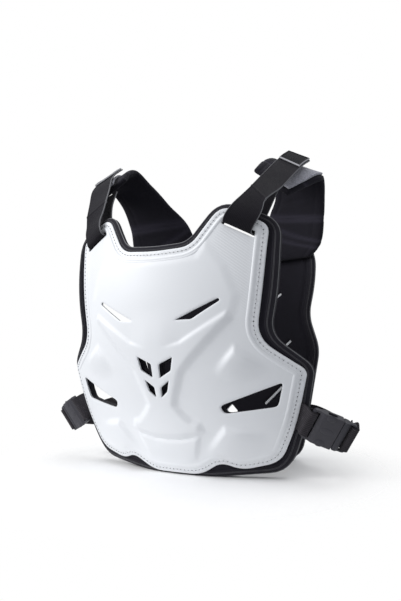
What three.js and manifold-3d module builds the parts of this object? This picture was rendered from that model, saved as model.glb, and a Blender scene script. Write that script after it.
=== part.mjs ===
// Chest and back protector for off-road riding: two moulded shells, each on a foam liner, joined by
// padded shoulder straps and by side webbing with side-release buckles. Millimetres, the front
// towards -Y, up +Z, standing on the lower edges of the two liners.
import * as THREE from 'three';
import { mergeVertices } from 'three/addons/utils/BufferGeometryUtils.js';
import Module from 'manifold-3d';

const wasm = await Module();
wasm.setup();

// Plate sizes
const GAP = 0.4; // clear space between neighbouring pieces
const SHELL_WALL = 2.5;
const FRONT_PAD = 12; // foam of the front liner
const BACK_PAD = 10; // foam of the back liner
const BODY_RADIUS = 281; // curve of both plates round the body
const CHEST_LEVEL = 261; // height at which the front plate stands foremost
const CHEST_CURVE = 0.00109; // upright curve of the front plate
const BELLY_EASE = 4e-7; // easing of that curve towards the belly
const BACK_DEPTH = 255; // inner face of the back liner behind the front plate's foremost line
const BACK_LEVEL = 186; // height at which the back plate stands rearmost
const BACK_CURVE = 0.0003; // upright curve of the back plate
const BACK_SHIFT = 10; // the back plate stands this much towards the left
const RIGHT_LIFT = 16; // the right shoulder strap is drawn up this much higher
const RIGHT_SWAY = 15; // and hangs this much further out
const RIGHT_FOLD = 0.35; // its share of the left strap's fold
const RELIEF_CELL = 12; // spacing of the shell's relief
const SMOOTH_CELL = 38; // spacing on plain curved faces
const PLATE_REACH = { side: 230, low: -20, high: 420, near: -120, far: 420 };

// Half outlines: x from the middle, height z, and the length of edge that each rounded corner takes
const FRONT_SHELL_EDGE = [
  { x: 0, z: 312, round: 20 }, // neckline
  { x: 54, z: 316, round: 16 },
  { x: 92, z: 373, round: 20 }, // shoulder tab
  { x: 151.5, z: 343, round: 12 },
  { x: 145.5, z: 262, round: 40 }, // armhole
  { x: 135.5, z: 193.5, round: 24 },
  { x: 191.3, z: 150.5, round: 9 }, // wing
  { x: 173.8, z: 81.6, round: 34 },
  { x: 147.5, z: 25, round: 18 }, // hip
  { x: 97, z: 13, round: 14 },
  { x: 71, z: 23, round: 12 }, // notch
  { x: 38, z: 3, round: 14 }, // belly
];
const FRONT_LINER_EDGE = [
  { x: 0, z: 318.5, round: 20 },
  { x: 49.5, z: 322, round: 15 },
  { x: 88, z: 379, round: 24 },
  { x: 164.5, z: 349, round: 24 },
  { x: 162.5, z: 262, round: 40 },
  { x: 150.5, z: 198, round: 22 },
  { x: 198, z: 154.5, round: 14 },
  { x: 181.5, z: 80, round: 34 },
  { x: 155, z: 11, round: 34 },
  { x: 100, z: 6, round: 20 },
  { x: 52, z: 0, round: 6 },
];
const BACK_LINER_EDGE = [
  { x: 0, z: 338, round: 20 },
  { x: 44, z: 342, round: 16 },
  { x: 62, z: 364, round: 14 },
  { x: 136, z: 356, round: 18 },
  { x: 157, z: 320, round: 18 },
  { x: 153, z: 278, round: 20 },
  { x: 140, z: 229, round: 18 },
  { x: 159, z: 176, round: 16 },
  { x: 141, z: 90, round: 34 },
  { x: 126, z: 8, round: 24 },
  { x: 60, z: 0, round: 6 },
];
const BACK_SHELL_EDGE = [
  { x: 0, z: 325, round: 20 },
  { x: 48, z: 328, round: 14 },
  { x: 66, z: 350, round: 12 },
  { x: 128, z: 344, round: 16 },
  { x: 144, z: 318, round: 14 },
  { x: 140, z: 278, round: 20 },
  { x: 127, z: 229, round: 18 },
  { x: 146, z: 174, round: 10 },
  { x: 128, z: 90, round: 34 },
  { x: 114, z: 21, round: 20 },
  { x: 50, z: 12, round: 10 },
];

// Vents, one side of each pair: four corners and the rounding of their edges
const FRONT_VENTS = [
  { name: 'brow slot', a: [33.6, 218], b: [57, 219], c: [95, 243], d: [92.5, 246.5], round: 3 },
  { name: 'upper middle', a: [5.8, 159], b: [28, 169.2], c: [23.5, 150.4], d: [5.4, 139.8], round: 2 },
  { name: 'lower middle', a: [19.3, 137.6], b: [4.8, 127.2], c: [4, 112.6], d: [14.6, 121.6], round: 2 },
  { name: 'side vent', a: [81.5, 103], b: [163, 135.5], c: [154, 102.5], d: [86.5, 92.5], round: 6 },
];
const BROW_OPENING = { a: [22, 217], b: [60, 211], c: [110, 243], d: [100, 258], round: 6 }; // in the liner
const SPINE_VENT = { a: [-7, 82], b: [6, 69], c: [-7, 55], d: [-20, 69], round: 3 }; // one, by the middle
const BACK_LINER_SLITS = [
  { name: 'upper slit', a: [72, 257], b: [75, 253], c: [92, 264], d: [89, 268], round: 2 },
  { name: 'side slit', a: [88, 177], b: [91.5, 173], c: [109, 187], d: [105.5, 191], round: 2 },
  { name: 'low slit', a: [54.5, 86], b: [58.5, 81.5], c: [92, 112], d: [88, 116.5], round: 2 },
];
const STRAP_SLOT = { inner: [94.8, 350], outer: [136.2, 329], half: 4.2, liner: 2.4, round: 2 };

// Raised panels of the front shell, one half of each: height, width of the sloping edge, and outline (x, z)
const RIM_WIDTH = 11;
const RIM_STEP = { height: 1.6, slope: 5 };
const RAISED = [
  {
    name: 'chest', height: 1.8, slope: 7,
    edge: [[-30, 297], [64, 302], [75, 319], [99, 288], [114, 250], [100, 234], [40, 196], [-30, 192]],
  },
  {
    name: 'brow', height: 2.6, slope: 7,
    edge: [[-30, 206], [36, 204], [100, 242], [108, 232], [44, 190], [-30, 187]],
  },
  {
    name: 'middle', height: 3.4, slope: 8,
    edge: [[-30, 186], [54, 190], [106, 222], [52, 166], [37, 149], [25, 116], [21, 102], [30, 90],
      [46, 78], [46, 68], [-30, 62]],
  },
  {
    name: 'belly', height: 2.8, slope: 8,
    edge: [[-30, 53], [20, 53], [47, 59], [36, 28], [20, 18], [-30, 18]],
  },
  {
    name: 'upper wing', height: 4, slope: 12,
    edge: [[77, 142], [110, 182], [139, 161], [130, 147], [100, 144]],
  },
  {
    name: 'lower wing', height: 4, slope: 12,
    edge: [[51, 33], [86, 74], [121, 67], [116, 52], [80, 34]],
  },
];

// Shoulder pads, left side: inner edge, outer edge, hang (1 on the back plate), lift and sway (1 at the
// shoulder)
const PAD_THICK = 13;
const PAD_END = { length: 5, narrower: 9, thinner: 0.55 };
const PAD_ROWS = [
  { in: [60, 235, 318], out: [164, 196, 318], hang: 1, lift: 0, sway: -0.6 },
  { in: [66, 231, 343], out: [173, 190, 343], hang: 1, lift: 0, sway: -0.6 },
  { in: [79, 216, 384], out: [178, 186, 373], hang: 1, lift: 0.4, sway: -0.6 },
  { in: [97, 201, 414], out: [181, 181, 405], hang: 1, lift: 0.8, sway: 0.2 },
  { in: [107, 184, 440], out: [187, 169, 427], hang: 0.7, lift: 1, sway: 0.8 },
  { in: [114, 158, 463], out: [192, 149, 422], hang: 0.3, lift: 1, sway: 1 },
  { in: [111, 132, 455.5], out: [178.5, 130, 410], hang: 0.1, lift: 1, sway: 1 },
  { in: [106, 111, 438], out: [156.5, 112, 396], hang: 0, lift: 1, sway: 1 },
];
const PAD_OUTER_LIFT = 1.75; // how much more the outer edge is lifted than the inner one
const PAD_STEPS = 16;
const PAD_SECTION = { points: 14, sideRound: 0.5, faceRound: 0.6 }; // lower powers square the oval
const PILE = { thick: 1.4, from: 0.62, to: 0.98, inner: -0.3, outer: 0.88, steps: 20, clear: 1.1 };

// Shoulder straps, left side: middle line from the pad's front end, down, out through the slot and back up
const STRAP_WIDTH = 42;
const STRAP_THICK = 2.2;
const STRAP_STEPS = 40;
const SLOT_LINE = new THREE.Vector3(0.837, 0.347, -0.429); // across the strap at the slot
const TOP_LINE = new THREE.Vector3(0.865, -0.16, -0.475); // across the strap at the shoulder
const FOLD_LINE = new THREE.Vector3(0.676, -0.433, -0.638); // across the left strap where it folds
const STRAP_ROWS = [
  { at: [128.5, 103.4, 410.5], turn: 1, fold: 0, lift: 0.5, sway: 1.5 },
  { at: [125.5, 82, 388], turn: 0.6, fold: 0, lift: 0.35, sway: 1.1 },
  { at: [121, 66, 366], turn: 0.2, fold: 0, lift: 0.2, sway: 0.5 },
  { at: [117, 58.5, 349], turn: 0, fold: 0, lift: 0, sway: 0.1 },
  { at: [116, 50.5, 340.4], turn: 0, fold: 0, lift: 0, sway: 0 },
  { at: [115.5, 38, 338.8], turn: 0, fold: 0, lift: 0, sway: 0 },
  { at: [115.3, 25.5, 340.4], turn: 0, fold: 0, lift: 0, sway: 0 },
  { at: [118.6, 25.4, 348.5], turn: 0, fold: 0, lift: 0, sway: 0 },
  { at: [125, 31, 361], turn: 0, fold: 0.3, lift: 0, sway: -0.1 },
  { at: [131, 39.5, 373.5], turn: 0.1, fold: 0.65, lift: 0.1, sway: -0.3 },
  { at: [136.5, 50.5, 388.5], turn: 0.35, fold: 1, lift: 0.3, sway: -0.3 },
  { at: [145.5, 77.5, 409.5], turn: 0.75, fold: 0.5, lift: 0.7, sway: 0.1 },
  { at: [153, 104.5, 432], turn: 0.95, fold: 0.25, lift: 1, sway: 0.6 },
  { at: [158, 128, 449], turn: 1, fold: 0.2, lift: 1, sway: 0.75 },
  { at: [161, 152, 462], turn: 1, fold: 0, lift: 1, sway: 0.9 },
];
const PATCH = { thick: 2.6, width: 40, from: 0.905, steps: 5 };

// Side buckles, left side: where the socket begins, the way it points and the way across it
const BUCKLE_AT = new THREE.Vector3(187.2, 86, 82.4);
const BUCKLE_ALONG = new THREE.Vector3(0.767, 0.466, -0.36).normalize();
const BUCKLE_ACROSS = new THREE.Vector3(0.516, -0.188, 0.833);
const BUCKLE_WIDTH = 47;
const BUCKLE_THICK = 12;
const BAR_THICK = 6;
const BAR = 4.4; // width of each webbing bar
const BAR_SLOT = { length: 41, wide: 5.4 };
const PARTING_CORNER = 2; // rounding where socket and plug meet
const SOCKET = { length: 43, taper: 15, corner: 5 };
const CAVITY = { deep: 27, wide: 37, high: 7 };
const WINDOW = { from: 20, length: 13, high: 6, deep: 9 };
const PLUG = { length: 19.5, taper: 5.5, corner: 5, narrower: 2 };
const PRONG = { length: 21, wide: 5.5, hook: 4.2, head: 8, high: 5, apart: 13 };
const GUIDE = { length: 18, wide: 6 };
const PAST = 1; // how far a cut or a joined root runs past the face it meets

// Webbing, left side: across the plate edge at its sewn end, then along the buckle (along, out of its face)
const WEBBING_WIDTH = 38;
const WEBBING_THICK = 2;
const FRONT_WEBBING_STEPS = 24;
const BACK_WEBBING_STEPS = 28;
const EDGE_LINE = new THREE.Vector3(0.295, -0.137, 0.945);
const FRONT_WEBBING_SEWN = [
  { at: [178.2, 88.2, 88.4], turn: 0 },
  { at: [182, 85, 86], turn: 0.45 },
];
const FRONT_WEBBING_BAR = [
  { along: -2.5, out: 4.6 }, { along: 2.2, out: 5 }, { along: 6.2, out: 3.8 }, { along: 7.3, out: 0 },
  { along: 6.2, out: -3.8 }, { along: 2.2, out: -5 }, { along: -2.5, out: -4.6 },
];
const BACK_EDGE_LINE = new THREE.Vector3(0.2, 0.06, 0.978);
const BACK_WEBBING_SEWN = [
  { at: [132, 235.5, 70], turn: 0, hang: 1, lift: 1 },
  { at: [143, 230.5, 69.5], turn: 0, hang: 1, lift: 1 },
  { at: [164, 215, 66.5], turn: 0.2, hang: 0.8, lift: 1 },
  { at: [198, 190, 59], turn: 0.6, hang: 0.3, lift: 0.8 },
  { at: [222, 158, 58.5], turn: 0.9, hang: 0, lift: 0.2 },
];
const BACK_WEBBING_BAR = [
  { along: 67.5, out: -16 }, { along: 66, out: -3 }, { along: 64.8, out: 3.4 }, { along: 60.8, out: 5 },
  { along: 57, out: 3.6 }, { along: 56.2, out: 0 }, { along: 56.6, out: -6 }, { along: 58.5, out: -16 },
];

const LOOK = {
  shell: { color: 0xe8eaee, roughness: 0.35 },
  foam: { color: 0x232228, roughness: 0.9 },
  webbing: { color: 0x2b2a2f, roughness: 0.9 },
  pile: { color: 0x5c5d63, roughness: 1 },
  patch: { color: 0x1f1f24, roughness: 0.6 },
  buckle: { color: 0x3a3b41, roughness: 0.45 },
};
const SIDES = [
  { name: 'left', sign: 1, lift: 0, sway: 0, fold: 1 },
  { name: 'right', sign: -1, lift: RIGHT_LIFT, sway: RIGHT_SWAY, fold: RIGHT_FOLD },
];

// A geometry as a closed body that can be cut and joined, turned to face out
function solid(geometry) {
  const bare = new THREE.BufferGeometry();
  bare.setAttribute('position', geometry.attributes.position.clone());
  if (geometry.index) bare.setIndex(geometry.index.clone());
  const merged = mergeVertices(bare, 1e-4);
  const triVerts = Uint32Array.from(merged.index.array);
  const vertProperties = merged.attributes.position.array;
  if (signedVolume(vertProperties, triVerts) < 0) triVerts.reverse();
  return new wasm.Manifold(new wasm.Mesh({ numProp: 3, vertProperties, triVerts }));
}

function signedVolume(points, triangles) {
  const corner = [new THREE.Vector3(), new THREE.Vector3(), new THREE.Vector3()];
  let volume = 0;
  for (let t = 0; t < triangles.length; t += 3) {
    corner.forEach((v, k) => v.fromArray(points, 3 * triangles[t + k]));
    volume += corner[0].dot(corner[1].clone().cross(corner[2])) / 6;
  }
  return volume;
}

function geometryOf(body) {
  const mesh = body.getMesh();
  const geometry = new THREE.BufferGeometry();
  geometry.setAttribute('position', new THREE.BufferAttribute(Float32Array.from(mesh.vertProperties), 3));
  geometry.setIndex(new THREE.BufferAttribute(Uint32Array.from(mesh.triVerts), 1));
  geometry.computeVertexNormals();
  return geometry;
}

const protector = new THREE.Group();

function piece(name, body, look) {
  const mesh = new THREE.Mesh(geometryOf(body), new THREE.MeshStandardMaterial(look));
  mesh.name = name;
  protector.add(mesh);
}

// A closed outline whose corners are rounded, each taking less than half of the edges beside it
function roundedShape(corners) {
  const most = 0.45;
  const shape = new THREE.Shape();
  corners.forEach((corner, i) => {
    const here = new THREE.Vector2(corner.x, corner.z);
    const others = [corners.at(i - 1), corners[(i + 1) % corners.length]];
    const [enter, leave] = others.map((other) => {
      const way = new THREE.Vector2(other.x, other.z).sub(here);
      return way.setLength(Math.min(corner.round, most * way.length())).add(here);
    });
    if (i === 0) shape.moveTo(enter.x, enter.y);
    else shape.lineTo(enter.x, enter.y);
    shape.quadraticCurveTo(here.x, here.y, leave.x, leave.y);
  });
  return shape;
}

function plateShape(half, sideways) {
  const mirrored = half.filter((c) => c.x > 0).map((c) => ({ ...c, x: -c.x })).reverse();
  return roundedShape([...half, ...mirrored].map((c) => ({ ...c, x: c.x + sideways })));
}

// Body that runs front to back through the whole plate behind an outline drawn from the front
function frontToBack(shape) {
  const depth = PLATE_REACH.far - PLATE_REACH.near;
  const prism = new THREE.ExtrudeGeometry(shape, { depth, bevelEnabled: false, curveSegments: 3 });
  return solid(prism.rotateX(Math.PI / 2).translate(0, PLATE_REACH.far, 0));
}

function ventBodies(vents, sideways, signs = [1, -1]) {
  return vents.flatMap(({ a, b, c, d, round }) => signs.map((sign) => {
    const corners = [a, b, c, d].map(([x, z]) => ({ x: sign * x + sideways, z, round }));
    return frontToBack(roundedShape(corners));
  }));
}

// Block between two faces given as depth by x and height
function blockBetween(nearFace, farFace, cell) {
  const wide = 2 * PLATE_REACH.side;
  const tall = PLATE_REACH.high - PLATE_REACH.low;
  const box = new THREE.BoxGeometry(wide, 1, tall, Math.round(wide / cell), 1, Math.round(tall / cell));
  box.translate(0, 0, PLATE_REACH.low + tall / 2);
  const at = box.attributes.position;
  for (let i = 0; i < at.count; i += 1) {
    const face = at.getY(i) < 0 ? nearFace : farFace;
    at.setY(i, face(at.getX(i), at.getZ(i)));
  }
  return solid(box);
}

// Depth of the plain front plate and of the back liner's inner face, and their stretch across a slope
function chestDepth(x, z) {
  const rise = z - CHEST_LEVEL;
  return x ** 2 / (2 * BODY_RADIUS) + CHEST_CURVE * rise ** 2 + BELLY_EASE * rise ** 3;
}

function backDepth(x, z) {
  return BACK_DEPTH - (x - BACK_SHIFT) ** 2 / (2 * BODY_RADIUS) - BACK_CURVE * (z - BACK_LEVEL) ** 2;
}

function behind(face, wall) {
  const step = 1;
  return (x, z) => {
    const slopeX = (face(x + step, z) - face(x - step, z)) / (2 * step);
    const slopeZ = (face(x, z + step) - face(x, z - step)) / (2 * step);
    return face(x, z) + wall * Math.hypot(1, slopeX, slopeZ);
  };
}

// Height of the front shell's relief over its plain curve
function edgeDistance(x, z, edge) {
  const here = new THREE.Vector3(x, z, 0);
  const nearest = new THREE.Vector3();
  const line = new THREE.Line3();
  let least = Infinity;
  let inside = false;
  edge.forEach(([ax, az], i) => {
    const [bx, bz] = edge[(i + 1) % edge.length];
    line.start.set(ax, az, 0);
    line.end.set(bx, bz, 0);
    least = Math.min(least, line.closestPointToPoint(here, true, nearest).distanceTo(here));
    if (az > z !== bz > z && x < ax + ((z - az) * (bx - ax)) / (bz - az)) inside = !inside;
  });
  return inside ? least : -least;
}

function reliefOver(outline) {
  const rim = outline.getPoints(4).map((p) => [p.x, p.y]);
  return (x, z) => {
    const fromRim = edgeDistance(x, z, rim) - RIM_WIDTH;
    const field = RIM_STEP.height * THREE.MathUtils.smoothstep(fromRim, 0, RIM_STEP.slope);
    const heights = RAISED.map((panel) => {
      const inside = Math.min(edgeDistance(Math.abs(x), z, panel.edge), fromRim);
      return panel.height * THREE.MathUtils.smoothstep(inside, 0, panel.slope);
    });
    return field + Math.max(...heights);
  };
}

// Strap slots, one in each shoulder tab
function strapSlots(grow) {
  const { inner, outer, half, round } = STRAP_SLOT;
  const along = new THREE.Vector2(outer[0] - inner[0], outer[1] - inner[1]).normalize();
  const reach = along.clone().multiplyScalar(grow);
  const up = new THREE.Vector2(-along.y, along.x).multiplyScalar(half + grow);
  const slot = {
    a: [inner[0] - reach.x + up.x, inner[1] - reach.y + up.y],
    b: [outer[0] + reach.x + up.x, outer[1] + reach.y + up.y],
    c: [outer[0] + reach.x - up.x, outer[1] + reach.y - up.y],
    d: [inner[0] - reach.x - up.x, inner[1] - reach.y - up.y],
    round,
  };
  return ventBodies([slot], 0);
}

function cutAll(body, cutters) {
  return cutters.reduce((left, cutter) => left.subtract(cutter), body);
}

// Front plate
const nearPlane = () => PLATE_REACH.near;
const farPlane = () => PLATE_REACH.far;
const frontOutline = plateShape(FRONT_SHELL_EDGE, 0);
const relief = reliefOver(frontOutline);
const shellFace = blockBetween((x, z) => chestDepth(x, z) - relief(x, z), farPlane, RELIEF_CELL);
const shellBack = blockBetween(nearPlane, behind(chestDepth, SHELL_WALL), SMOOTH_CELL);
const frontVents = ventBodies(FRONT_VENTS, 0);
const frontShell = shellFace.intersect(shellBack).intersect(frontToBack(frontOutline));
piece('front_shell', cutAll(frontShell, [...frontVents, ...strapSlots(0)]), LOOK.shell);

const frontPadStart = behind(chestDepth, SHELL_WALL + GAP);
const frontPadEnd = behind(chestDepth, SHELL_WALL + GAP + FRONT_PAD);
const frontPad = blockBetween(frontPadStart, frontPadEnd, SMOOTH_CELL);
const frontLiner = frontPad.intersect(frontToBack(plateShape(FRONT_LINER_EDGE, 0)));
const linerVents = ventBodies([BROW_OPENING, ...FRONT_VENTS.slice(1)], 0);
piece('front_liner', cutAll(frontLiner, [...linerVents, ...strapSlots(STRAP_SLOT.liner)]), LOOK.foam);

// Back plate
const spineVent = ventBodies([SPINE_VENT], BACK_SHIFT, [1]);
const backPad = blockBetween(backDepth, behind(backDepth, BACK_PAD), SMOOTH_CELL);
const backLiner = backPad.intersect(frontToBack(plateShape(BACK_LINER_EDGE, BACK_SHIFT)));
const backSlits = ventBodies(BACK_LINER_SLITS, BACK_SHIFT);
piece('back_liner', cutAll(backLiner, [...spineVent, ...backSlits]), LOOK.foam);

const backWallStart = behind(backDepth, BACK_PAD + GAP);
const backWall = blockBetween(backWallStart, behind(backDepth, BACK_PAD + GAP + SHELL_WALL), SMOOTH_CELL);
const backShell = backWall.intersect(frontToBack(plateShape(BACK_SHELL_EDGE, BACK_SHIFT)));
piece('back_shell', cutAll(backShell, spineVent), LOOK.shell);

// Closed body through a row of rings with equal numbers of points
function loft(rings) {
  const count = rings[0].length;
  const points = rings.flat();
  const faces = [];
  for (let r = 0; r + 1 < rings.length; r += 1) {
    for (let k = 0; k < count; k += 1) {
      const [a, b] = [r * count + k, r * count + ((k + 1) % count)];
      faces.push(a, b, b + count, a, b + count, a + count);
    }
  }
  const last = points.length - count;
  for (let k = 1; k + 1 < count; k += 1) {
    faces.push(0, k + 1, k, last, last + k, last + k + 1);
  }
  const geometry = new THREE.BufferGeometry().setFromPoints(points);
  geometry.setIndex(faces);
  return solid(geometry);
}

// Ring of a flat band: across and out are half its width and half its thickness
function bandRing(middle, across, out) {
  return [[1, 1], [1, -1], [-1, -1], [-1, 1]].map(([s, t]) => (
    middle.clone().addScaledVector(across, s).addScaledVector(out, t)));
}

// Stations along a smooth middle line, with the across direction and the face normal at each
function stations(rows, steps, from = 0, to = 1) {
  const line = new THREE.CatmullRomCurve3(rows.map((row) => row.at), false, 'centripetal');
  const acrossLine = new THREE.CatmullRomCurve3(rows.map((row) => row.across), false, 'centripetal');
  return Array.from({ length: steps + 1 }, (_, i) => {
    const t = THREE.MathUtils.lerp(from, to, i / steps);
    const across = acrossLine.getPoint(t);
    const normal = across.clone().cross(line.getTangent(t)).normalize();
    return { middle: line.getPoint(t), across, normal, tangent: line.getTangent(t) };
  });
}

function band(rows, steps, thick, from, to) {
  return loft(stations(rows, steps, from, to).map(({ middle, across, normal }) => (
    bandRing(middle, across, normal.setLength(thick / 2)))));
}

function placed([x, y, z], side, { hang = 0, lift = 0, sway = 0 }) {
  return new THREE.Vector3(side.sign * (x + side.sway * sway) + BACK_SHIFT * hang, y, z + side.lift * lift);
}

function turned(vector, side) {
  return vector.clone().multiply(new THREE.Vector3(side.sign, 1, 1));
}

// Cushion section: a flattened oval, full width and thickness in halves
function cushionRing({ middle, across, normal }, half, narrower) {
  const { points, sideRound, faceRound } = PAD_SECTION;
  const wide = across.clone().setLength(across.length() - narrower);
  return Array.from({ length: points }, (_, k) => {
    const angle = (2 * Math.PI * k) / points;
    const [c, s] = [Math.cos(angle), Math.sin(angle)];
    return middle.clone()
      .addScaledVector(wide, Math.sign(c) * Math.abs(c) ** sideRound)
      .addScaledVector(normal, half * Math.sign(s) * Math.abs(s) ** faceRound);
  });
}

function shoulderPad(rows) {
  const line = stations(rows, PAD_STEPS);
  const half = PAD_THICK / 2;
  const ends = [line[0], line.at(-1)].map((station, i) => {
    const middle = station.middle.clone().addScaledVector(station.tangent, (i ? 1 : -1) * PAD_END.length);
    return cushionRing({ ...station, middle }, half * PAD_END.thinner, PAD_END.narrower);
  });
  return loft([ends[0], ...line.map((station) => cushionRing(station, half, 0)), ends[1]]);
}

// Pile strip that lies on the pad's crowned outer face, from under the strap to its outer edge
function pileStrip(side, rows) {
  const line = stations(rows, PILE.steps, PILE.from, PILE.to);
  const lift = PAD_THICK / 2 + PILE.clear + PILE.thick / 2;
  return loft(line.map(({ middle, across, normal }) => {
    const out = normal.clone().multiplyScalar(-side.sign);
    const raised = middle.clone().addScaledVector(out, lift);
    raised.addScaledVector(across, (PILE.outer + PILE.inner) / 2);
    const half = across.clone().multiplyScalar((PILE.outer - PILE.inner) / 2);
    return bandRing(raised, half, out.setLength(PILE.thick / 2));
  }));
}

for (const side of SIDES) {
  const padRows = PAD_ROWS.map((row) => {
    const inner = placed(row.in, side, row);
    const outer = placed(row.out, side, { ...row, lift: row.lift * PAD_OUTER_LIFT });
    const across = outer.clone().sub(inner).multiplyScalar(0.5);
    return { at: inner.clone().add(outer).multiplyScalar(0.5), across };
  });
  piece(`shoulder_pad_${side.name}`, shoulderPad(padRows), LOOK.foam);
  piece(`pile_strip_${side.name}`, pileStrip(side, padRows), LOOK.pile);
}

for (const side of SIDES) {
  const strapRows = STRAP_ROWS.map((row) => ({
    at: placed(row.at, side, row),
    across: turned(SLOT_LINE.clone().lerp(TOP_LINE, row.turn).normalize()
      .lerp(FOLD_LINE, row.fold * side.fold).setLength(STRAP_WIDTH / 2), side),
  }));
  piece(`shoulder_strap_${side.name}`, band(strapRows, STRAP_STEPS, STRAP_THICK), LOOK.webbing);

  const lift = STRAP_THICK / 2 + GAP + PATCH.thick / 2;
  const patch = stations(strapRows, PATCH.steps, PATCH.from, 1).map(({ middle, across, normal }) => {
    const out = normal.multiplyScalar(side.sign);
    const raised = middle.addScaledVector(out, lift);
    return bandRing(raised, across.setLength(PATCH.width / 2), out.clone().setLength(PATCH.thick / 2));
  });
  piece(`strap_patch_${side.name}`, loft(patch), LOOK.patch);
}

// Buckle parts, drawn along X, across Y and out of the face along Z
function fromAbove(corners, thick) {
  const shape = roundedShape(corners.map(([x, z, round]) => ({ x, z, round })));
  const plate = new THREE.ExtrudeGeometry(shape, { depth: thick, bevelEnabled: false, curveSegments: 3 });
  return solid(plate.translate(0, 0, -thick / 2));
}

function fromSide(corners, wide) {
  const shape = roundedShape(corners.map(([x, z]) => ({ x, z, round: 1 })));
  const plate = new THREE.ExtrudeGeometry(shape, { depth: wide, bevelEnabled: false, curveSegments: 2 });
  return solid(plate.rotateX(Math.PI / 2).translate(0, wide / 2, 0));
}

function boxBody(x0, x1, wide, high, y = 0) {
  return solid(new THREE.BoxGeometry(x1 - x0, wide, high).translate((x0 + x1) / 2, y, 0));
}

function buckleSocket() {
  const half = BUCKLE_WIDTH / 2;
  const { length, taper, corner } = SOCKET;
  const [thin, thick] = [BAR_THICK / 2, BUCKLE_THICK / 2];
  const plan = fromAbove([[0, -half, corner], [length, -half, PARTING_CORNER],
    [length, half, PARTING_CORNER], [0, half, corner]], BUCKLE_THICK);
  const flat = BAR + BAR_SLOT.wide;
  const profile = fromSide([[0, -thin], [flat, -thin], [taper, -thick], [length, -thick], [length, thick],
    [taper, thick], [flat, thin], [0, thin]], BUCKLE_WIDTH);
  const cavity = boxBody(length - CAVITY.deep, length + PAST, CAVITY.wide, CAVITY.high);
  const windows = [-1, 1].map((s) => (
    boxBody(WINDOW.from, WINDOW.from + WINDOW.length, 2 * WINDOW.deep, WINDOW.high, s * half)));
  const slot = boxBody(BAR, BAR + BAR_SLOT.wide, BAR_SLOT.length, BUCKLE_THICK + 2 * PAST);
  return cutAll(plan.intersect(profile), [cavity, slot, ...windows]);
}

function bucklePlug() {
  const half = (BUCKLE_WIDTH - PLUG.narrower) / 2;
  const start = SOCKET.length + GAP;
  const end = start + PLUG.length;
  const [thin, thick] = [BAR_THICK / 2, BUCKLE_THICK / 2];
  const plan = fromAbove([[start, -half, PARTING_CORNER], [end, -half, PLUG.corner],
    [end, half, PLUG.corner], [start, half, PARTING_CORNER]], BUCKLE_THICK);
  const flat = end - BAR - BAR_SLOT.wide;
  const shoulder = start + PLUG.taper;
  const profile = fromSide([[start, -thick], [shoulder, -thick], [flat, -thin], [end, -thin],
    [end, thin], [flat, thin], [shoulder, thick], [start, thick]], BUCKLE_WIDTH);
  const slot = boxBody(flat, end - BAR, BAR_SLOT.length, BUCKLE_THICK + 2 * PAST);
  const tip = start - PRONG.length;
  const prongs = [-1, 1].flatMap((s) => [
    boxBody(tip, start + PAST, PRONG.wide, PRONG.high, s * PRONG.apart),
    boxBody(tip, tip + PRONG.head, PRONG.wide + PRONG.hook, PRONG.high, s * (PRONG.apart + PRONG.hook / 2)),
  ]);
  const guide = boxBody(start - GUIDE.length, start + PAST, GUIDE.wide, PRONG.high);
  const head = plan.intersect(profile).subtract(slot);
  return [...prongs, guide].reduce((whole, part) => whole.add(part), head);
}

for (const side of SIDES) {
  const along = turned(BUCKLE_ALONG, side);
  const across = BUCKLE_ACROSS.clone().projectOnPlane(BUCKLE_ALONG).normalize();
  const out = turned(BUCKLE_ALONG.clone().cross(across), side);
  const over = turned(across, side);
  const start = turned(BUCKLE_AT, side);
  const stand = new THREE.Matrix4().makeBasis(along, over, out).setPosition(start);
  const parts = { buckle_socket: buckleSocket(), buckle_plug: bucklePlug() };
  for (const [name, body] of Object.entries(parts)) {
    piece(`${name}_${side.name}`, solid(geometryOf(body).applyMatrix4(stand)), LOOK.buckle);
  }

  const wide = WEBBING_WIDTH / 2;
  const onBuckle = (row) => ({
    at: start.clone().addScaledVector(along, row.along).addScaledVector(out, row.out),
    across: over.clone().setLength(wide),
  });
  const sewnAlong = (line) => (row) => ({
    at: placed(row.at, side, row),
    across: turned(line, side).lerp(over, row.turn).setLength(wide),
  });
  const frontRows = FRONT_WEBBING_SEWN.map(sewnAlong(EDGE_LINE)).concat(FRONT_WEBBING_BAR.map(onBuckle));
  const backRows = BACK_WEBBING_SEWN.map(sewnAlong(BACK_EDGE_LINE)).concat(BACK_WEBBING_BAR.map(onBuckle));
  piece(`front_webbing_${side.name}`, band(frontRows, FRONT_WEBBING_STEPS, WEBBING_THICK), LOOK.webbing);
  piece(`back_webbing_${side.name}`, band(backRows, BACK_WEBBING_STEPS, WEBBING_THICK), LOOK.webbing);
}

// Stand the whole on the floor with its middle over the origin
const bounds = new THREE.Box3().setFromObject(protector);
const middle = bounds.getCenter(new THREE.Vector3());
for (const mesh of protector.children) {
  mesh.geometry.translate(-middle.x, -middle.y, -bounds.min.z);
}

export default protector;
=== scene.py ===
"""Chest and back protector for off-road riding: moulded shells on foam liners, straps and buckles.

The front plate faces -Y, up is +Z and the wearer's left is +X. Tables are in millimetres, with depth
counted back from the front plate's foremost line.
"""
import math

import bmesh
import bpy
import numpy as np
from mathutils import Matrix, Vector


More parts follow.
